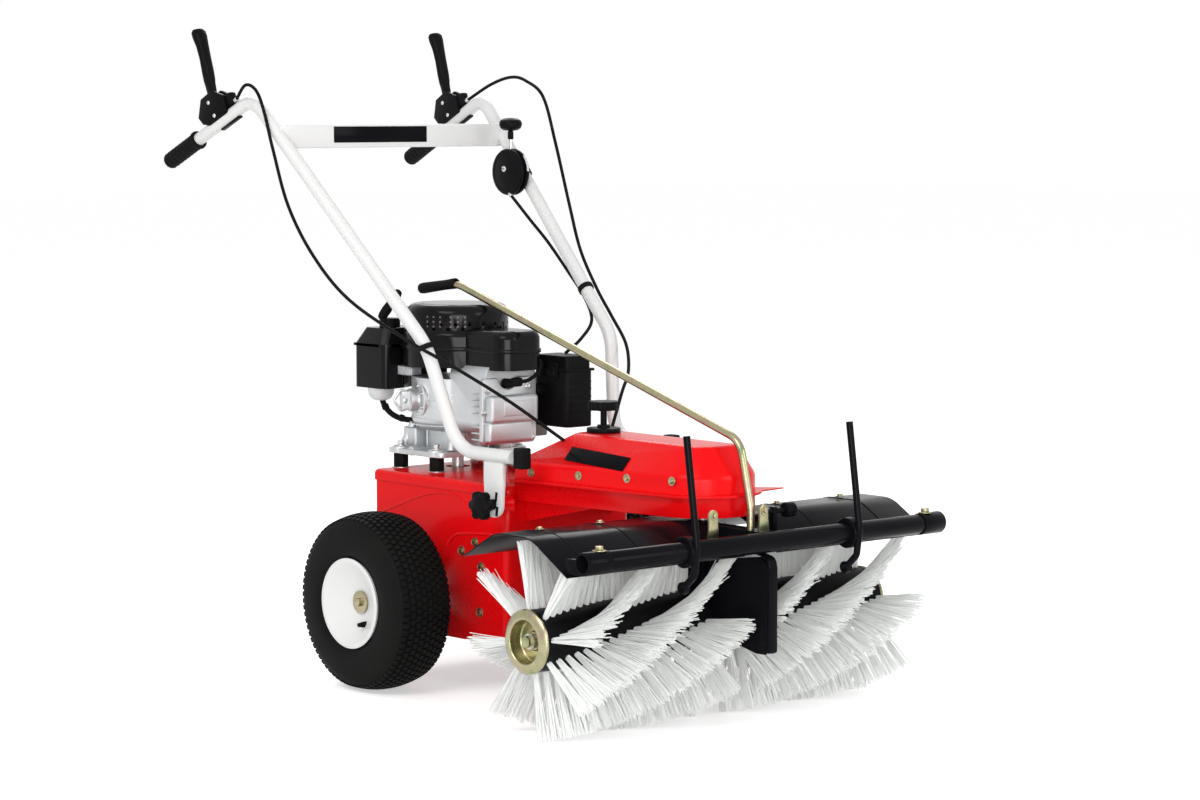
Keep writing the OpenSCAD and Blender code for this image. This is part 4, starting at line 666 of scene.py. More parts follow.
def bristles(name, start_y):
    """One half of the brush: helical rows of tufts that fan out from the core."""
    chance = random.Random(name)
    pitch = BRUSH_HALF / TUFTS_IN_ROW
    strands = []
    for row in range(TUFT_ROWS):
        for tuft in range(TUFTS_IN_ROW):
            y = (tuft + 0.5) * pitch
            turn = FIRST_ROW + 2 * pi * row / TUFT_ROWS + HELIX_TURN * y / BRUSH_HALF
            for _ in range(STRANDS_IN_TUFT):
                spin, reach = chance.uniform(0, 2 * pi), sqrt(chance.random())
                foot_y = y + TUFT_R * reach * sin(spin)
                foot_turn = turn + TUFT_R * reach * cos(spin) / TUFT_SEAT_R
                tip_y = y + (FAN_ALONG * reach * sin(spin) + chance.gauss(0, STRAY_ALONG))
                tip_y = min(max(tip_y, 0.5), BRUSH_HALF - 0.5)
                sway = FAN_AROUND * reach * cos(spin) + chance.gauss(0, STRAY_AROUND)
                tip_turn = turn + sway / BRUSH_R
                tip_r = BRUSH_R - TIP_GAP - chance.random() ** 3 * TIP_WEAR
                route = []
                for share in (0.0, 0.5, 1.0):
                    radius = STRAND_START + (tip_r - STRAND_START) * share
                    around = foot_turn + (tip_turn - foot_turn) * share
                    along = foot_y + (tip_y - foot_y) * share ** 1.3
                    route.append(at(BRUSH_X + radius * cos(around), start_y + along,
                                    BRUSH_Z + radius * sin(around)))
                strands.append(route)
    mesh = swept(strands, STRAND_R, 0, radii=[1.0, 1.0, TIP_SHARE])
    dress(name + "_strands", mesh, "brush", "bristle", replaces=[name])


def brush():
    bristles("right_bristles", -BRUSH_OUTER)
    bristles("left_bristles", BRUSH_INNER)
    low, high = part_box("brush_discs")
    disc_r = (high.z - low.z) / 2 / MM
    shaft_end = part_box("brush_shaft")[1].y
    core_profile = [(0, 0), (CORE_R - 0.8, 0), (CORE_R, 0.8), (CORE_R, BRUSH_HALF - 0.8),
                    (CORE_R - 0.8, BRUSH_HALF), (CUP_R + 1.4, BRUSH_HALF), (CUP_R + 0.6, BRUSH_HALF - 0.8),
                    (CUP_R + 0.6, BRUSH_HALF - CUP_DEPTH), (0, BRUSH_HALF - CUP_DEPTH)]
    disc_profile = [(0, -20), (CUP_R - 2, -20), (CUP_R, -18), (CUP_R, 0), (disc_r - 2, 0), (disc_r, 1.4),
                    (disc_r - 0.4, 4.4), (disc_r - 2.4, 6.6), (disc_r - 8, 9.2), (CUP_R, 10.6),
                    (CUP_R - 2, 10.4), (CUP_R - 3.4, 9.2), (CUP_R - 4, 7), (CUP_R - 4, -13),
                    (CUP_R - 6, -15.4), (18, -16), (15, -13), (0, -13)]
    core = bmesh.new()
    for name, side in SIDES.items():
        turned(core_profile, at(BRUSH_X, side * BRUSH_INNER, BRUSH_Z), (0, side, 0), 72, core)
        start = at(BRUSH_X, side * (BRUSH_OUTER + 0.4), BRUSH_Z)
        disc = turned(disc_profile, start, (0, side, 0), 72)
        piece(name + "_brush_disc", disc, "brush", "yellow_zinc", replaces=["brush_discs"])
        bolt = bmesh.new()
        seat = Vector((start.x, side * (shaft_end - 2 * MM), start.z))
        add_bolt(bolt, seat, (0, side, 0), 19, 8, 15)
        piece(name + "_brush_bolt", bolt, "brush", "yellow_zinc")
    piece("brush_cores", core, "brush", "black_plastic", replaces=["brush_core"])
    softened("brush_gearbox", "black_paint", 1.6, 3)
    softened("swivel_collar", "black_paint", 1.6, 3)


# Brush head: hoods, front tube and gearbox guard

# the hood runs around the brush axis through these corners, each bent to one radius
HOOD_R, HOOD_SKIN, HOOD_TURNS, HOOD_BEND = 190, 187, (134, 104, 76, 42), 72
HOOD_SEAMS = (-372, -236, 190, 352)
# side outline of the shields that cover the brush gearbox: distance ahead of the axle and height
SHIELD = [(560, 200), (576, 258), (600, 272), (662, 286), (742, 297), (758, 288), (761, 276), (761, 134),
          (757, 128), (734, 128), (660, 146), (600, 166)]
# the shields draw together towards the front, from this distance ahead of the axle
SHIELD_HINGE, SHIELD_TURN = 600, radians(3)
SHIELD_Y, SHIELD_THICK = 17.5, 3
STRAP = [(734, 303), (750, 300), (758, 296), (763, 289), (765, 278), (765, 132)]
STRAP_WIDE = 20
SLEEVE_PROFILE = [(TUBE_R, 0), (TUBE_R + 1.0, 0.3), (TUBE_R + 1.8, 1.4), (TUBE_R + 1.8, 51.5),
                  (TUBE_R + 0.8, 53.2), (TUBE_R, 53.6)]


def hood_ray(degrees):
    """The way out from the brush axis at a turn above straight ahead."""
    return cos(radians(degrees)), sin(radians(degrees))


def gearbox_guard():
    guard = bmesh.new()
    upright = Matrix.Rotation(pi / 2, 4, "X")
    shield = [(x - SHIELD_HINGE, z) for x, z in SHIELD]
    for side in (RIGHT, LEFT):
        hinge = Matrix.Translation(at(SHIELD_HINGE, side * SHIELD_Y + SHIELD_THICK / 2, 0))
        turn = Matrix.Rotation(-side * SHIELD_TURN, 4, "Z")
        add_plate(guard, shield, SHIELD_THICK, hinge @ turn @ upright, 0.8)
    band = STRAP + [(x - 4, z - 2) for x, z in reversed(STRAP)]
    add_plate(guard, band, STRAP_WIDE, Matrix.Translation(at(0, STRAP_WIDE / 2, 0)) @ upright, 0.8)
    piece("gearbox_guard_shields", guard, "brush_head", "black_paint", replaces=["gearbox_guard"])


def head_fixings():
    """Bolts of the tube sleeves and hoods, and two bolted lugs behind the front tube."""
    fixings = bmesh.new()
    for y in (-391, 391):
        add_bolt(fixings, at(TUBE_X, y, TUBE_Z + TUBE_R + 1.2), UP, 13, 7, 12)
    for y in HOOD_SEAMS:
        for turn in (96, 116):
            x, z = hood_ray(turn)
            out = Vector((x, 0, z))
            add_bolt(fixings, at(BRUSH_X, y + 14, BRUSH_Z) + out * HOOD_SKIN * MM, out, 9, 3.4, 8)
    lug = [(-13, 0), (13, 0), (10, 26), (10, 36)]
    lug += arc(0, 38, 10, 0, 8)[:-1]
    lug += [(-10, 36), (-10, 26)]
    for y in (-108, 12):
        add_plate(fixings, lug, 5, aim(at(724, y, 338), AHEAD, UP), 1.0)
        add_bolt(fixings, at(729, y, 376), AHEAD, 9, 4, 8)
    piece("brush_head_fixings", fixings, "brush_head", "yellow_zinc")


def brush_frame():
    softened("front_tube", "black_paint", 0.8)
    for node in ("right_hood", "left_hood", "hood_brackets"):
        softened(node, "black_paint", 1.0, 2)
    seams = []
    for y in HOOD_SEAMS:
        rays = [hood_ray(turn) for turn in HOOD_TURNS]
        corners = [at(BRUSH_X + HOOD_R * x, y, BRUSH_Z + HOOD_R * z) for x, z in rays]
        seams.append(rounded(corners, [HOOD_BEND, HOOD_BEND], 10))
    dress("hood_seams", swept(seams, 1.6, 3), "brush_head", "black_paint")
    gearbox_guard()
    sleeves = bmesh.new()
    for side in (RIGHT, LEFT):
        turned(SLEEVE_PROFILE, at(TUBE_X, side * 374, TUBE_Z), (0, side, 0), 44, sleeves)
    piece("tube_sleeves", sleeves, "brush_head", "black_paint")
    head_fixings()
    roller = bmesh.new()
    add_rod(roller, at(700, 88, 368), at(700, 110, 368), 13, 32, edge=2.5)
    add_rod(roller, at(700, 40, 368), at(700, 90, 368), 5, 20, edge=0.8)
    add_block(roller, (12, 8, 52), at(700, 62, 350), edge=1.2)
    piece("swivel_roller", roller, "brush_head", "black_paint")


# Chassis

# pressed lines and bolts on the sides, as distance ahead of the axle and height
SIDE_PRESSINGS = [[(-160, 303), (-110, 319), (-50, 340), (6, 355), (57, 358.5), (95, 350), (120, 332)],
                  [(52, 262), (64, 276), (83, 285), (110, 289), (149, 292), (196, 294)]]
SIDE_BOLTS = [(133, 275), (93, 255), (150, 231), (146, 146)]
# screws along the boom, and the way in which its left side faces
COVER_SCREWS = [(269.5, 130, 413.7), (385.5, 117, 417), (500.8, 104, 421), (606, 92.5, 424)]
BOOM_FACE = (0.113, 0.994)
# the rounding leaves out the inner part of the lid, in metres of the shared frame
LID_INNER_Y, LID_INNER_X = 0.1, -0.24


def chassis():
    lid_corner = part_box("deck_lid")[1]
    cover_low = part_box("belt_cover")[0].z

    def lid_edge(edge):
        """Upper rim of the lid, without its front and its hole."""
        return all(v.co.z > lid_corner.z - 1e-5 and v.co.x < lid_corner.x - 1e-4
                   and (abs(v.co.y) > LID_INNER_Y or v.co.x < LID_INNER_X) for v in edge.verts)

    def cover_edge(edge):
        """Edges above the flange of the belt cover."""
        middle = (edge.verts[0].co + edge.verts[1].co) / 2
        return middle.z > cover_low + 12 * MM

    softened("deck_lid", "red_paint", 9.0, 6, 40, lid_edge, clamp=False)
    softened("chassis_body", "red_paint", 1.0, 2)
    softened("boom_trough", "red_paint", 1.0, 2)
    softened("belt_cover", "red_paint", 6.0, 5, 18, cover_edge)
    cover_plate()
    softened("handlebar_brackets", "red_paint", 1.0)
    screws = bmesh.new()
    for side in (RIGHT, LEFT):
        for x, y, z in COVER_SCREWS:
            add_bolt(screws, at(x, side * y, z), (BOOM_FACE[0], side * BOOM_FACE[1], 0), 9, 4, 8)
    piece("cover_bolts", screws, "chassis", "yellow_zinc", replaces=["cover_screws"])
    pressed = []
    fixings = bmesh.new()
    for side in (RIGHT, LEFT):
        for line in SIDE_PRESSINGS:
            pressed.append(even(flowing([at(x, side * SIDE_Y, z) for x, z in line], 6), 12))
        for x, z in SIDE_BOLTS:
            add_bolt(fixings, at(x, side * SIDE_Y, z), (0, side, 0), 10, 4.2, 9)
    dress("side_pressings", swept(pressed, 2.4, 4), "chassis", "red_paint")
    piece("chassis_bolts", fixings, "chassis", "yellow_zinc")
    softened("adjuster_base", "black_plastic", 1.0)
    softened("adjuster_handwheel", "black_plastic", 1.6, 3)


def cover_plate():
    """A bare plate on the right slope of the belt cover."""
    slope = Vector((0.085, -0.749, 0.657)).normalized()
    along = Vector((0.996, 0.059, -0.061)).normalized()
    plate = bmesh.new()
    add_block(plate, (148, 30, 1.6), at(414.7, -98.4, 447.9) + slope * 0.4 * MM,
              aim(Vector(), slope, slope.cross(along)), 0.5)
    piece("cover_plate", plate, "chassis", "black_paint")


# Engine

def engine():
    def long_edge(edge):
        return edge.calc_length() > 12 * MM

    softened("engine_mounts", "rubber", 2.5, 3)
    softened("crankcase", "casting", 4.0, 4)
    cowl = softened("recoil_cowl", "black_plastic", 0.8)
    tank = softened("fuel_tank", "black_plastic", 9.0, 5, 30, long_edge, clamp=False)
    softened("muffler", "muffler_steel", 3.0, 3)
    softened("fuel_cap", "black_plastic", 1.5, 3)
    for cover in (cowl, tank, shroud()):
        cover.data.materials[0] = FINISHES["glossy_cover"]
    carburettor()
    engine_foot()
    cylinder_head()
    oil_filler()
    cowl_louvres()
    fuel_strainer()
    air_box()
    starter()


def shroud_outline(grow):
    """The shroud seen from above: a round over the crankcase and a visor to the front."""
    radius, half, front, corner = 104 + grow, 52 + grow, 100 + grow, 34 + grow
    turn = asin(half / radius)
    around = [turn + (tau - 2 * turn) * step / 56 for step in range(57)]
    points = [(ENGINE_X + radius * cos(t), radius * sin(t)) for t in around]
    for side, first in ((RIGHT, -90), (LEFT, 0)):
        for step in range(11):
            t = radians(first + 9 * step)
            points.append((front - corner + corner * cos(t),
                           side * (half - corner) + corner * sin(t)))
    return points


def shroud():
    shell = bmesh.new()
    add_plate(shell, shroud_outline(0), SHROUD_TOP - SHROUD_LOW, Matrix.Translation(at(0, 0, SHROUD_LOW)))
    rim = [e for e in shell.edges if all(v.co.z > (SHROUD_TOP - 0.1) * MM for v in e.verts)]
    bevel(shell, rim, 24, 7)
    add_plate(shell, shroud_outline(2.6), 8, Matrix.Translation(at(0, 0, 614)), 2.0, 3)
    return piece("shroud_shell", shell, "chassis", "black_plastic", 40, replaces=["engine_shroud"])


def carburettor():
    ribbed = bmesh.new()
    add_block(ribbed, (58, 24, 15), at(-166, -74, 571), edge=2.0)
    for step in range(8):
        add_block(ribbed, (3, 28, 17), at(-191 + 7 * step, -74, 571), edge=0.8)
    piece("carburettor_ribs", ribbed, "chassis", "casting")


MOUNT_R, FOOT_RISE = 14, 14
DRAIN_X, DRAIN_Z = -118, 421
BARREL_RIB = [(86.5, -1.4), (89.2, -0.9), (89.2, 0.9), (86.5, 1.4)]


def engine_foot():
    low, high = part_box("engine_mounts")
    castings, fixings = bmesh.new(), bmesh.new()
    for x in (low.x + MOUNT_R * MM, high.x - MOUNT_R * MM):
        for y in (low.y + MOUNT_R * MM, high.y - MOUNT_R * MM):
            foot = Vector((x, y, high.z))
            top = foot + step_by(0, 0, FOOT_RISE)
            add_rod(castings, foot, top, 19, 28, 16, edge=2.5)
            add_bolt(fixings, top, UP, 13, 8, 12)
            add_bolt(fixings, Vector((x, y, low.z)), UP, 15, 3.5, 17)
    for dx in (-1, 1):
        for dy in (-1, 1):
            add_block(castings, (40, 30, 42), at(ENGINE_X + dx * 58, dy * 58, 441), edge=5, segments=3)
            add_rod(castings, at(ENGINE_X + dx * 74, dy * 74, 424), at(ENGINE_X + dx * 60, dy * 60, 470),
                    9, 20, 7)
    add_rod(castings, at(DRAIN_X, -76, DRAIN_Z), at(DRAIN_X, -105, DRAIN_Z), 10, 28, 9, edge=1.5)
    for z in range(470, 531, 12):
        turned(BARREL_RIB, at(ENGINE_X, 0, z), UP, 72, castings)
    piece("engine_foot_castings", castings, "chassis", "casting")
    add_rod(fixings, at(DRAIN_X, -100, DRAIN_Z), at(DRAIN_X, -106, DRAIN_Z), 5, 6, edge=0.6)
    piece("engine_foot_bolts", fixings, "chassis", "steel")


# outline of the head plate seen from the front: distance to the left and height
HEAD_PLATE = [(-72, 443), (46, 443), (53, 450), (53, 560), (46, 568), (10, 568), (7, 560), (2, 552),
              (-6, 547.5), (-15, 546), (-24, 547.5), (-32, 552), (-37, 560), (-40, 568), (-71, 568),
              (-78, 561), (-78, 450)]
HEAD_BOLTS = ((-66, 545), (32, 549), (42, 452), (-66, 452), (44, 500), (-75, 505))
PLUG_LEAD = [(86, -4, 560), (92, 12, 563), (92, 34, 575), (84, 48, 592), (66, 52, 604)]


def cylinder_head():
    head = bmesh.new()
    add_plate(head, HEAD_PLATE, 11, aim(at(55.5, 0, 0), AHEAD, UP), 2.2, 3)
    add_block(head, (24, 116, 52), at(76, -15, 510), edge=8, segments=5)
    add_block(head, (4, 72, 28), at(87, -8, 511), edge=1.6, segments=3)
    add_block(head, (20, 108, 40), at(73, -20, 467), edge=7, segments=4)
    add_block(head, (14, 122, 4), at(68, -15, 484), edge=1.5)
    for z in (452, 464, 476, 500, 512, 524, 536):
        add_block(head, (34, 126, 3), at(44, -10, z), edge=0.8)
    piece("valve_cover", head, "chassis", "casting", replaces=["cylinder_head"])
    bolts = bmesh.new()
    for y, z in HEAD_BOLTS:
        add_bolt(bolts, at(66.3, y, z), AHEAD, 8, 5, 7)
    piece("valve_cover_bolts", bolts, "chassis", "steel")
    boot = bmesh.new()
    add_rod(boot, at(54, -15, 556), at(80, -15, 558), 9.5, 24, 8, edge=1.5)
    add_block(boot, (16, 22, 17), at(84, -10, 560), edge=5, segments=4)
    piece("spark_plug_boot", boot, "chassis", "rubber")
    lead = flowing([at(*point) for point in PLUG_LEAD])
    dress("spark_plug_lead", swept([lead], 3.6, 5), "chassis", "rubber")


FILLER_WAY = Vector((-0.3583679, -0.9335804, 0.0))
FILLER_PLACE = (-122.63, -98.03, 517.72)
FLANGE = [(0, 0), (32, 0), (33, 1.5), (33, 5.5), (31, 7.5), (26, 8.5), (21, 11), (20, 15), (20, 20), (0, 20)]
FLANGE_BOLTS, FLANGE_BOLT_R = 6, 27
# the loop handle of the cap: distance out along the filler and rise above its axis
CAP_LOOP = ((-6, -16), (6, -20), (21, 0), (6, 20), (-6, 16))


def oil_filler():
    place = at(*FILLER_PLACE)
    flange = turned(FLANGE, place - FILLER_WAY * 22 * MM, FILLER_WAY, 48)
    piece("oil_filler_flange", flange, "chassis", "casting")
    bolts = bmesh.new()
    ring = aim(place - FILLER_WAY * 14.6 * MM, FILLER_WAY)
    for step in range(FLANGE_BOLTS):
        turn = tau * (step + 0.5) / FLANGE_BOLTS
        seat = ring @ step_by(FLANGE_BOLT_R * cos(turn), FLANGE_BOLT_R * sin(turn), 0)
        add_bolt(bolts, seat, FILLER_WAY, 6, 3, 4.4)
    piece("oil_filler_bolts", bolts, "chassis", "steel")
    softened("oil_cap", "casting", 1.5, 3)
    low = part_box("oil_cap")[0]
    outer = place + FILLER_WAY * ((place.y - low.y) / -FILLER_WAY.y - 9 * MM)
    loop = [outer + FILLER_WAY * out * MM + UP * rise * MM for out, rise in CAP_LOOP]
    dress("oil_cap_loop", swept([rounded(loop, [5, 5, 5], 6)], 2.8, 5), "filler_cap", "casting")


def cowl_louvres():
    """Small metal windows and slanted slats in the side of the cowl."""
    windows, slats = bmesh.new(), bmesh.new()
    centre = at(ENGINE_X, 0, 0)
    for first in (-74, -46):
        for column in range(3):
            turn = radians(first + 8 * column)
            out = Vector((cos(turn), sin(turn), 0))
            for row in range(3):
                place = centre + out * 97.8 * MM + step_by(0, 0, 660 + 9 * row)
                add_block(windows, (3.6, 3.6, 1.0), place, aim(Vector(), out, UP), 0.3, 1)
    for step in range(8):
        turn = radians(-20 + 6.5 * step)
        out = Vector((cos(turn), sin(turn), 0.25)).normalized()
        place = centre + out * 97 * MM + step_by(0, 0, 645)
        add_block(slats, (2.6, 26, 5), place, aim(Vector(), out, UP), 0.8, 2)
    piece("cowl_windows", windows, "chassis", "muffler_steel")
    piece("cowl_slats", slats, "chassis", "black_plastic")


STRAINER_CUP = [(0, -17), (12, -16.4), (19, -13), (24, -5), (25.5, 4), (25.5, 12), (24, 14), (24, 24),
                (0, 24)]
FUEL_HOSE = [(-222, -92, 512), (-214, -90, 497), (-202, -80, 482), (-186, -64, 474), (-160, -50, 474)]


def fuel_strainer():
    cup = turned(STRAINER_CUP, at(-225, -92, 527), UP, 40)
    piece("fuel_strainer_cup", cup, "chassis", "grey_plastic")
    hose = flowing([at(*point) for point in FUEL_HOSE])
    dress("fuel_hose", swept([hose], 5.5, 5), "chassis", "rubber")
    clips = bmesh.new()
    add_rod(clips, at(-216.5, -90.5, 502), at(-212.5, -89.5, 494), 7.0, 20, edge=0.8)
    add_rod(clips, at(-194, -72, 478), at(-188, -66, 475), 7.0, 20, edge=0.8)
    piece("fuel_hose_clips", clips, "chassis", "rubber")


def air_box():
    softened("air_cleaner", "black_plastic", 5.0, 4)
    low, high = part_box("air_cleaner")
    seam = low.z + 0.8 * (high.z - low.z)
    trim = bmesh.new()
    right = at(21, 81.4, 0)
    left = Vector((high.x, high.y, 0))
    middle = (right + left) / 2
    size = ((left.x - right.x) / MM + 2.4, (left.y - right.y) / MM + 2.4, 5)
    add_block(trim, size, Vector((middle.x, middle.y, seam)), edge=2.0, segments=3)
    for share in (0.3, 0.7):
        x = right.x + share * (left.x - right.x)
        for y in (right.y - 1 * MM, left.y + 1 * MM):
            add_block(trim, (12, 6, 26), Vector((x, y, seam)), edge=1.5)
    for step in range(5):
        z = seam - (22 + 14 * step) * MM
        add_block(trim, (3, size[1] - 18, 4), Vector((left.x, middle.y, z)), edge=1.0)
    piece("air_box_trim", trim, "chassis", "black_plastic")


# the starter handle: distance from its middle and half thickness
STARTER_HANDLE = [(-35, 5), (-33, 7.6), (-26, 9.4), (-12, 10), (0, 9), (12, 10), (26, 9.4), (33, 7.6),
                  (35, 5)]


def starter():
    low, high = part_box("starter_grip")
    rope_z, rope_y = (low.z + high.z) / 2, (low.y + high.y) / 2
    middle = Vector((low.x - 10 * MM, rope_y, rope_z + 8 * MM))
    lean = Vector((0, 0.66, 0.75)).normalized()
    deep = lean.cross(AHEAD)
    handle = bmesh.new()
    add_loft(handle, [oval(middle + lean * reach * MM, AHEAD, deep, 0.86 * thick, thick)
                      for reach, thick in STARTER_HANDLE], 24)
    piece("starter_handle", handle, "starter", "rubber", 40, replaces=["starter_grip"])
    rope = bmesh.new()
    add_rod(rope, middle, Vector((high.x, rope_y, rope_z + 2 * MM)), 2.4, 16)
    piece("starter_rope", rope, "starter", "grey_plastic")


# Handlebar and controls

BAR_ROUTE = [(291, 190, 447), (134, 190, 447), (85, 225, 638), (-372, 282, 1089), (-624, 298, 970)]
BAR_BENDS = [60, 110, 48]
FOOT_R, FOOT_Y, FOOT_THICK = 24, 186, 8
# where the foot turns on the chassis, under the star knob
KNOB_X, KNOB_Z = 238, 358
# place, way and radius of each tie that holds a cable to the bar
CABLE_TIES = (((84, -226, 636), (-0.35, -0.17, 0.9), 15.0),
              ((-1, 235.7, 722.9), (-0.708, 0.088, 0.7), 15.4))


def handlebar():
    routes = [rounded([at(x, side * y, z) for x, y, z in BAR_ROUTE], BAR_BENDS, 12)
              for side in (RIGHT, LEFT)]
    dress("handlebar_tubes", swept(routes, BAR_R, 8), "handlebar", "white_paint",
          replaces=["handlebar_frame"])
    feet, foot_slot_shades, plugs = bmesh.new(), bmesh.new(), bmesh.new()
    outline = [(-27, 89), (-27, 40), (-25, 20), (-FOOT_R, 0)]
    outline += arc(0, 0, FOOT_R, pi, 16)
    outline += [(25, 20), (27, 40), (27, 89)]
    slant = Matrix.Rotation(radians(9), 4, "Y")
    for side in (RIGHT, LEFT):
        foot = aim(at(KNOB_X, side * FOOT_Y, KNOB_Z), (0, side, 0), UP)
        add_plate(feet, outline, FOOT_THICK, foot, 1.2)
        # painted shade: thin dark rubber strips on the outer faces of the feet stand in for the shade inside
        # their slots
        for x, z in ((247, 372), (249, 346)):
            add_block(foot_slot_shades, (7, 1.2, 18), at(x, side * 193.8, z), slant, 0.5)
        add_block(plugs, (26, 22, 38), at(305, side * 181, 446), edge=3.0, segments=3)
    piece("handlebar_feet", feet, "handlebar", "white_paint")
    piece("handlebar_foot_slot_shades", foot_slot_shades, "handlebar", "rubber")
    bridge = bmesh.new()
    add_block(bridge, (8, 2 * 273, 45), at(-299, 0, 1017), edge=3.0, segments=4)
    piece("handlebar_crossbar", bridge, "handlebar", "white_paint")
    plate = bmesh.new()
    add_block(plate, (1.2, 226, 31), at(-294.6, -36, 1020), edge=0.5)
    piece("crossbar_plate", plate, "handlebar", "black_paint")
    piece("tube_end_plugs", plugs, "handlebar", "rubber")
    ties = bmesh.new()
    for place, way, radius in CABLE_TIES:
        half = Vector(way) * 5 * MM
        add_rod(ties, at(*place) - half, at(*place) + half, radius, 32, edge=1.0)
    piece("cable_ties", ties, "handlebar", "rubber")
    for name, side in SIDES.items():
        clutch_control(name, side)
    throttle()
    star_knobs()


# Clutch levers and grips

LEVER_RISE, LEVER_TURN = 44, radians(97)
CHEEK = [(-44, 3), (16, 3), (34, 13), (42, 30), (20, 60), (-18, 62), (-44, 40)]
CHEEK_THICK = 8
# blocks of the lever mount: size, place along the grip's axes, rounding and its steps
MOUNT_BLOCKS = (((58, 20, 22), (-6, 0, 16), 3.0, 3),
                ((34, 17, 26), (-43, 0, 27), 4.0, 3),
                ((62, 10, 4), (-32, 0, -14), 1.5, 2))
# distance from the pivot, half width across the grip, half thickness, bow
LEVER_SHAPE = [(-9, 5.0, 5.0, 0), (-5, 5.8, 9.0, 0), (22, 5.8, 13.5, 0), (36, 5.8, 14.5, 0),
               (45, 9.8, 13.4, 0.2), (60, 12.0, 11.6, 0.8), (90, 12.2, 10.2, 1.6), (115, 13.2, 10.8, 1.0),
               (134, 15.2, 13.0, -1.0), (144, 15.0, 12.6, -2.2), (149, 11.6, 9.0, -2.8)]
GRIP_LONG, GRIP_PAST_BAR, GRIP_RIBS = 107.4, 12.4, 7


def grip_frame(side):
    """Axes of a hand grip: X along it, Z up from it, at the lever mount."""
    way = Vector((-0.903, side * 0.057, -0.426)).normalized()
    up = Vector((-0.426, side * 0.027, 0.905)).normalized()
    turn = Matrix((way, up.cross(way), up)).transposed().to_4x4()
    return Matrix.Translation(at(-473, side * 288, 1041)) @ turn


def hand_grip(name, side, way):
    ribs = [(13.2, 0), (17.4, 0.8), (18.6, 3), (18.6, 6), (16.6, 9)]
    for rib in range(GRIP_RIBS):
        start = 13 + rib * 12
        ribs += [(15.4, start), (16.6, start + 3), (16.6, start + 6), (15.4, start + 9)]
    ribs += [(15.8, 98), (16.2, 101), (14.6, 104.4), (10, 106.6), (0, GRIP_LONG)]
    x, y, z = BAR_ROUTE[-1]
    inner = at(x, side * y, z) + way * (GRIP_PAST_BAR - GRIP_LONG) * MM
    grip = turned(ribs, inner, way, 32)
    piece(name + "_hand_grip", grip, "handlebar", "rubber", replaces=["hand_grips"])


def clutch_control(name, side):
    axes = grip_frame(side)
    turn = axes.to_3x3().to_4x4()
    along, across, up = (Vector(axes.col[k][:3]) for k in range(3))
    mount = bmesh.new()
    flat = Matrix((along, up, -across)).transposed().to_4x4()
    for start in (15, -7):
        cheek = Matrix.Translation(axes @ step_by(0, start, 0)) @ flat
        add_plate(mount, CHEEK, CHEEK_THICK, cheek, 1.6, 3)
    for size, middle, edge, segments in MOUNT_BLOCKS:
        add_block(mount, size, axes @ step_by(*middle), turn, edge, segments)
    piece(name + "_lever_mount", mount, "handlebar", "black_plastic", replaces=["lever_mounts"])
    rivets = bmesh.new()
    for x, z in ((0, LEVER_RISE), (-6, 14)):
        for way in (-1, 1):
            base = axes @ step_by(x, way * 14.6, z)
            add_rod(rivets, base, base + across * way * 2.2 * MM, 4.6, 20, 3.0, edge=0.8)
    add_rod(rivets, axes @ step_by(-58, 0, 20.3), axes @ step_by(-68, 0, 20.3), 5.2, 20, edge=0.8)
    piece(name + "_lever_rivets", rivets, "handlebar", "steel")
    lever = bmesh.new()
    pivot = axes @ step_by(0, 0, LEVER_RISE)
    out = along * cos(LEVER_TURN) + up * sin(LEVER_TURN)
    back = along * sin(LEVER_TURN) - up * cos(LEVER_TURN)
    add_loft(lever, [oval(pivot + (out * reach - back * bow) * MM, across, back, wide, thick)
                     for reach, wide, thick, bow in LEVER_SHAPE], 28)
    piece(name + "_lever_paddle", lever, name + "_clutch", "black_plastic", 40,
          replaces=[name + "_clutch_lever"])
    hand_grip(name, side, along)


# Throttle

THROTTLE = (-225.8, 233.9, 944.7)
THROTTLE_R, THROTTLE_REACH = 46, 94
CASE_HALF = [(0, 3.2), (THROTTLE_R - 2, 3.2), (THROTTLE_R, 4.4), (THROTTLE_R, 8), (THROTTLE_R - 1.6, 10.8),
             (THROTTLE_R - 6, 12.4), (THROTTLE_R - 9, 12.6), (THROTTLE_R - 10, 11.8),
             (THROTTLE_R - 12, 12.8), (0, 13)]
CASE_SEAM = [(0, -3.4), (THROTTLE_R - 10, -3.4), (THROTTLE_R - 10, 3.4), (0, 3.4)]
BAR_CLAMP = [(12.9, -13), (16, -12), (16.4, 0), (16, 12), (12.9, 13)]
THROTTLE_KNOB = [(4.8, -30), (5.8, -28), (5.8, -17), (5.0, -13), (14, -11.8), (20, -8), (22.6, -2),
                 (22.6, 3), (20, 8), (14, 11.4), (6, 12.6), (0, 12.8)]


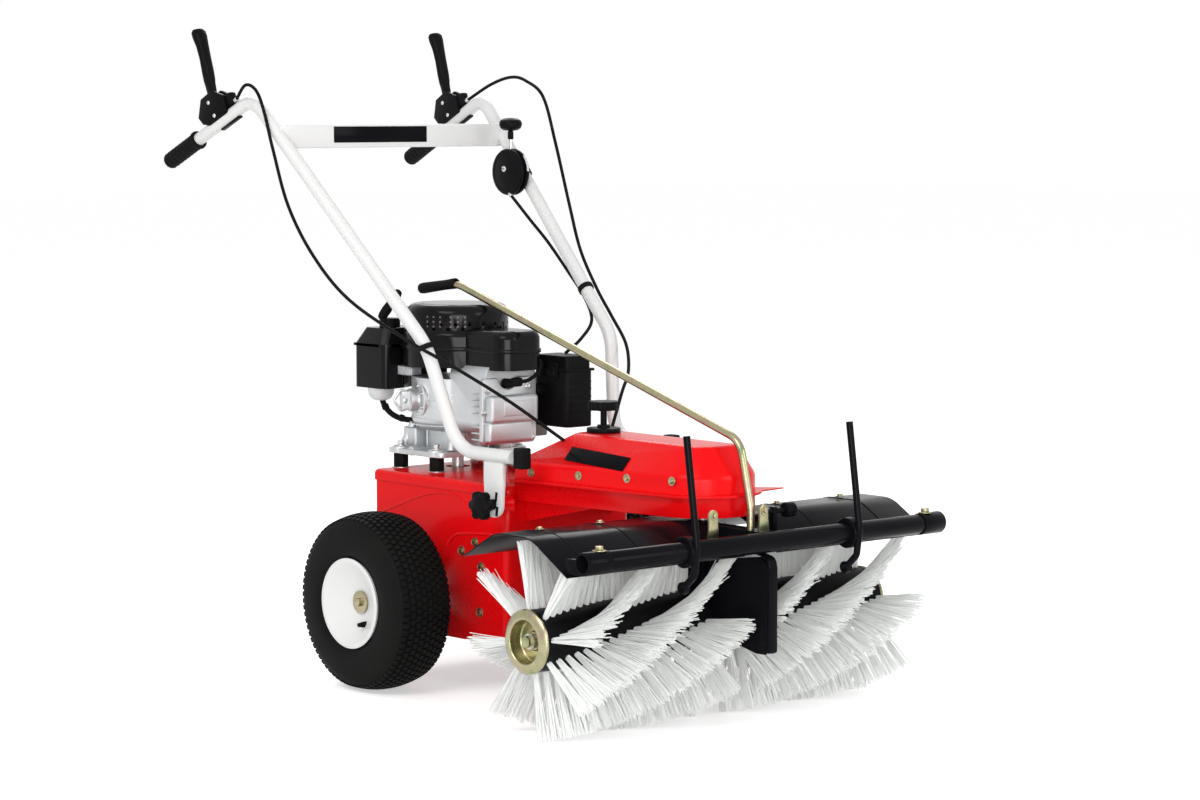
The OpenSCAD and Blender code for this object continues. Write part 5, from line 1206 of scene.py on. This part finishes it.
def throttle():
    x, y, z = THROTTLE
    centre = at(*THROTTLE)
    case = turned(CASE_HALF, centre, (0, RIGHT, 0), 64)
    turned(CASE_HALF, centre, (0, LEFT, 0), 64, case)
    turned(CASE_SEAM, centre, (0, LEFT, 0), 48, case)
    leg = Vector((-0.709, 0.0885, 0.700)).normalized()
    turned(BAR_CLAMP, at(x, 263.8, z), leg, 40, case)
    piece("throttle_case", case, "handlebar", "black_plastic", replaces=["throttle_housing"])
    metal = bmesh.new()
    face = at(x - 4, y - 13, z + 6)
    add_rod(metal, face, face + step_by(0, -3, 0), 6.6, 24, 5.4, edge=0.9)
    add_rod(metal, at(-219, 226.5, 903), at(-213.5, 225.8, 896.5), 4.6, 18, edge=0.6)
    piece("throttle_screw", metal, "handlebar", "steel")
    # painted shade: a thin dark strip laid on the face of the screw stands in for the shade inside its slot
    screw_slot_shade = bmesh.new()
    add_block(screw_slot_shade, (9.6, 0.8, 1.6), face + step_by(0, -2.9, 0), edge=0)
    piece("throttle_screw_slot_shade", screw_slot_shade, "handlebar", "rubber")
    marks = bmesh.new()
    rim = THROTTLE_R + 0.1
    for step in range(6):
        turn = radians(6 + 7 * step)
        place = at(x + rim * cos(turn), y + 6.4, z + rim * sin(turn))
        add_block(marks, (1.0, 4.6, 6.0), place, Matrix.Rotation(-turn, 4, "Y"), edge=0.2)
    piece("throttle_scale", marks, "handlebar", "grey_plastic")
    stalk = bmesh.new()
    add_rod(stalk, at(x, y, z + THROTTLE_R - 14), at(x, y, z + THROTTLE_REACH - 6), 2.9, 20)
    piece("throttle_stalk", stalk, "throttle", "steel")
    knob = turned(THROTTLE_KNOB, at(x, y, z + THROTTLE_REACH), UP, 40)
    piece("throttle_knob", knob, "throttle", "black_plastic", replaces=["throttle_lever"])


# Star knobs

KNOB_START, KNOB_REACH, KNOB_STUD_R = 193, 41.5, 5
KNOB_LOBES, LOBE_OUT, LOBE_R, LOBE_LOW, LOBE_HIGH = 6, 18.5, 9, 20, 38
KNOB_PROFILE = [(0, 0), (9, 0), (10, 1), (10, 15), (12, 19), (20, 21), (22, 24), (22, 34), (19, 38),
                (9, KNOB_REACH), (0, KNOB_REACH)]


def star_knobs():
    for name, side in SIDES.items():
        start = at(KNOB_X, side * KNOB_START, KNOB_Z)
        knob = turned(KNOB_PROFILE, start, (0, side, 0), 40)
        for step in range(KNOB_LOBES):
            turn = tau * step / KNOB_LOBES
            lobe = start + Vector((cos(turn), 0, sin(turn))) * LOBE_OUT * MM
            add_rod(knob, lobe + step_by(0, side * LOBE_LOW, 0), lobe + step_by(0, side * LOBE_HIGH, 0),
                    LOBE_R, 24, edge=4)
        add_rod(knob, at(KNOB_X, side * 159.5, KNOB_Z), start, KNOB_STUD_R, 20)
        piece(name + "_star_knob_finished", knob, name + "_knob", "black_plastic",
              replaces=[name + "_star_knob"])


# Steering lever and hooks

LEVER_ROUTE = [(-205, 0, 724), (-107, 0, 737), (680, 0, 494.6), (707, 0, 380), (707, 0, 316)]
LEVER_BENDS, LEVER_R = [120, 45, 45], 7
LEVER_GRIP_LONG, LEVER_GRIP_PAST = 112.6, 14
LEVER_GRIP = [(7.2, 0), (9.4, 0.6), (10.4, 3), (9.6, 30), (10.2, 70), (10.8, 100), (10.0, 108), (6, 112),
              (0, LEVER_GRIP_LONG)]
# side view of a hook rod: distance ahead of the front tube and height
HOOK_ROUTE = [(0, 521), (27, 332), (20, 286), (-6, 262)]
HOOK_BENDS, HOOK_R = [40, 14], 6.25
SLEEVE_W, SLEEVE_R = 18, 27
EYE_BORE, EYE_R, EYE_W = 5.5, 10.5, 2 * HOOK_R
HOOK_SLEEVE = [(TUBE_R + 0.3, 0.8), (TUBE_R + 1, 0), (SLEEVE_R - 1.5, 0), (SLEEVE_R, 1.5),
               (SLEEVE_R, SLEEVE_W - 1.5), (SLEEVE_R - 1.5, SLEEVE_W), (TUBE_R + 1, SLEEVE_W),
               (TUBE_R + 0.3, SLEEVE_W - 0.8)]
HOOK_EYE = [(EYE_BORE, 0.5), (EYE_BORE + 0.5, 0), (EYE_R - 1, 0), (EYE_R, 1), (EYE_R, EYE_W - 1),
            (EYE_R - 1, EYE_W), (EYE_BORE + 0.5, EYE_W), (EYE_BORE, EYE_W - 0.5)]


def steering_lever():
    lever = [at(*point) for point in LEVER_ROUTE]
    dress("swivel_lever_rod", swept([rounded(lever, LEVER_BENDS, 14)], LEVER_R, 8), "steering_lever",
          "yellow_zinc", replaces=["swivel_lever"])
    way = (lever[0] - lever[1]).normalized()
    inner = lever[0] + way * LEVER_GRIP_PAST * MM - way * LEVER_GRIP_LONG * MM
    grip = turned(LEVER_GRIP, inner, way, 28)
    piece("swivel_lever_hand_grip", grip, "steering_lever", "rubber", replaces=["swivel_lever_grip"])


def hook(name, y):
    """A rod that swings on a sleeve about the front tube and ends in an eye."""
    route = [at(TUBE_X + x, y, z) for x, z in HOOK_ROUTE]
    rod = rounded(route, HOOK_BENDS, 10)
    # the rod stops in the wall of the eye, clear of its bore
    rod[-1] = rod[-1] + (rod[-2] - rod[-1]).normalized() * (EYE_BORE + HOOK_R / 3) * MM
    dress(name + "_hook_rod", swept([rod], HOOK_R, 7), name + "_hook", "black_paint",
          replaces=[name + "_hook"])
    rings = turned(HOOK_SLEEVE, at(TUBE_X, y - SLEEVE_W / 2, TUBE_Z), (0, 1, 0), 48)
    turned(HOOK_EYE, route[-1] - step_by(0, HOOK_R, 0), (0, 1, 0), 36, rings)
    piece(name + "_hook_sleeve", rings, name + "_hook", "black_paint")


def hooks():
    for name, side in SIDES.items():
        hook(name, side * HOOK_Y)


# Parts that keep the shape of their solids

INNER_WORKS = {
    "steel": ("right_half_axle", "left_half_axle", "axle_gearbox", "swivel_spigot", "crankshaft",
              "axle_pulley", "drive_shaft", "brush_shaft"),
    "rubber": ("brush_belt", "axle_belt"),
}


def inner_works():
    for finish, nodes in INNER_WORKS.items():
        for node in nodes:
            materials = frame["nodes"][node].data.materials
            materials.clear()
            materials.append(FINISHES[finish])


photo_camera()
control_cables()
studio()
studio_floor()
wheels()
brush()
brush_frame()
chassis()
engine()
handlebar()
steering_lever()
hooks()
inner_works()
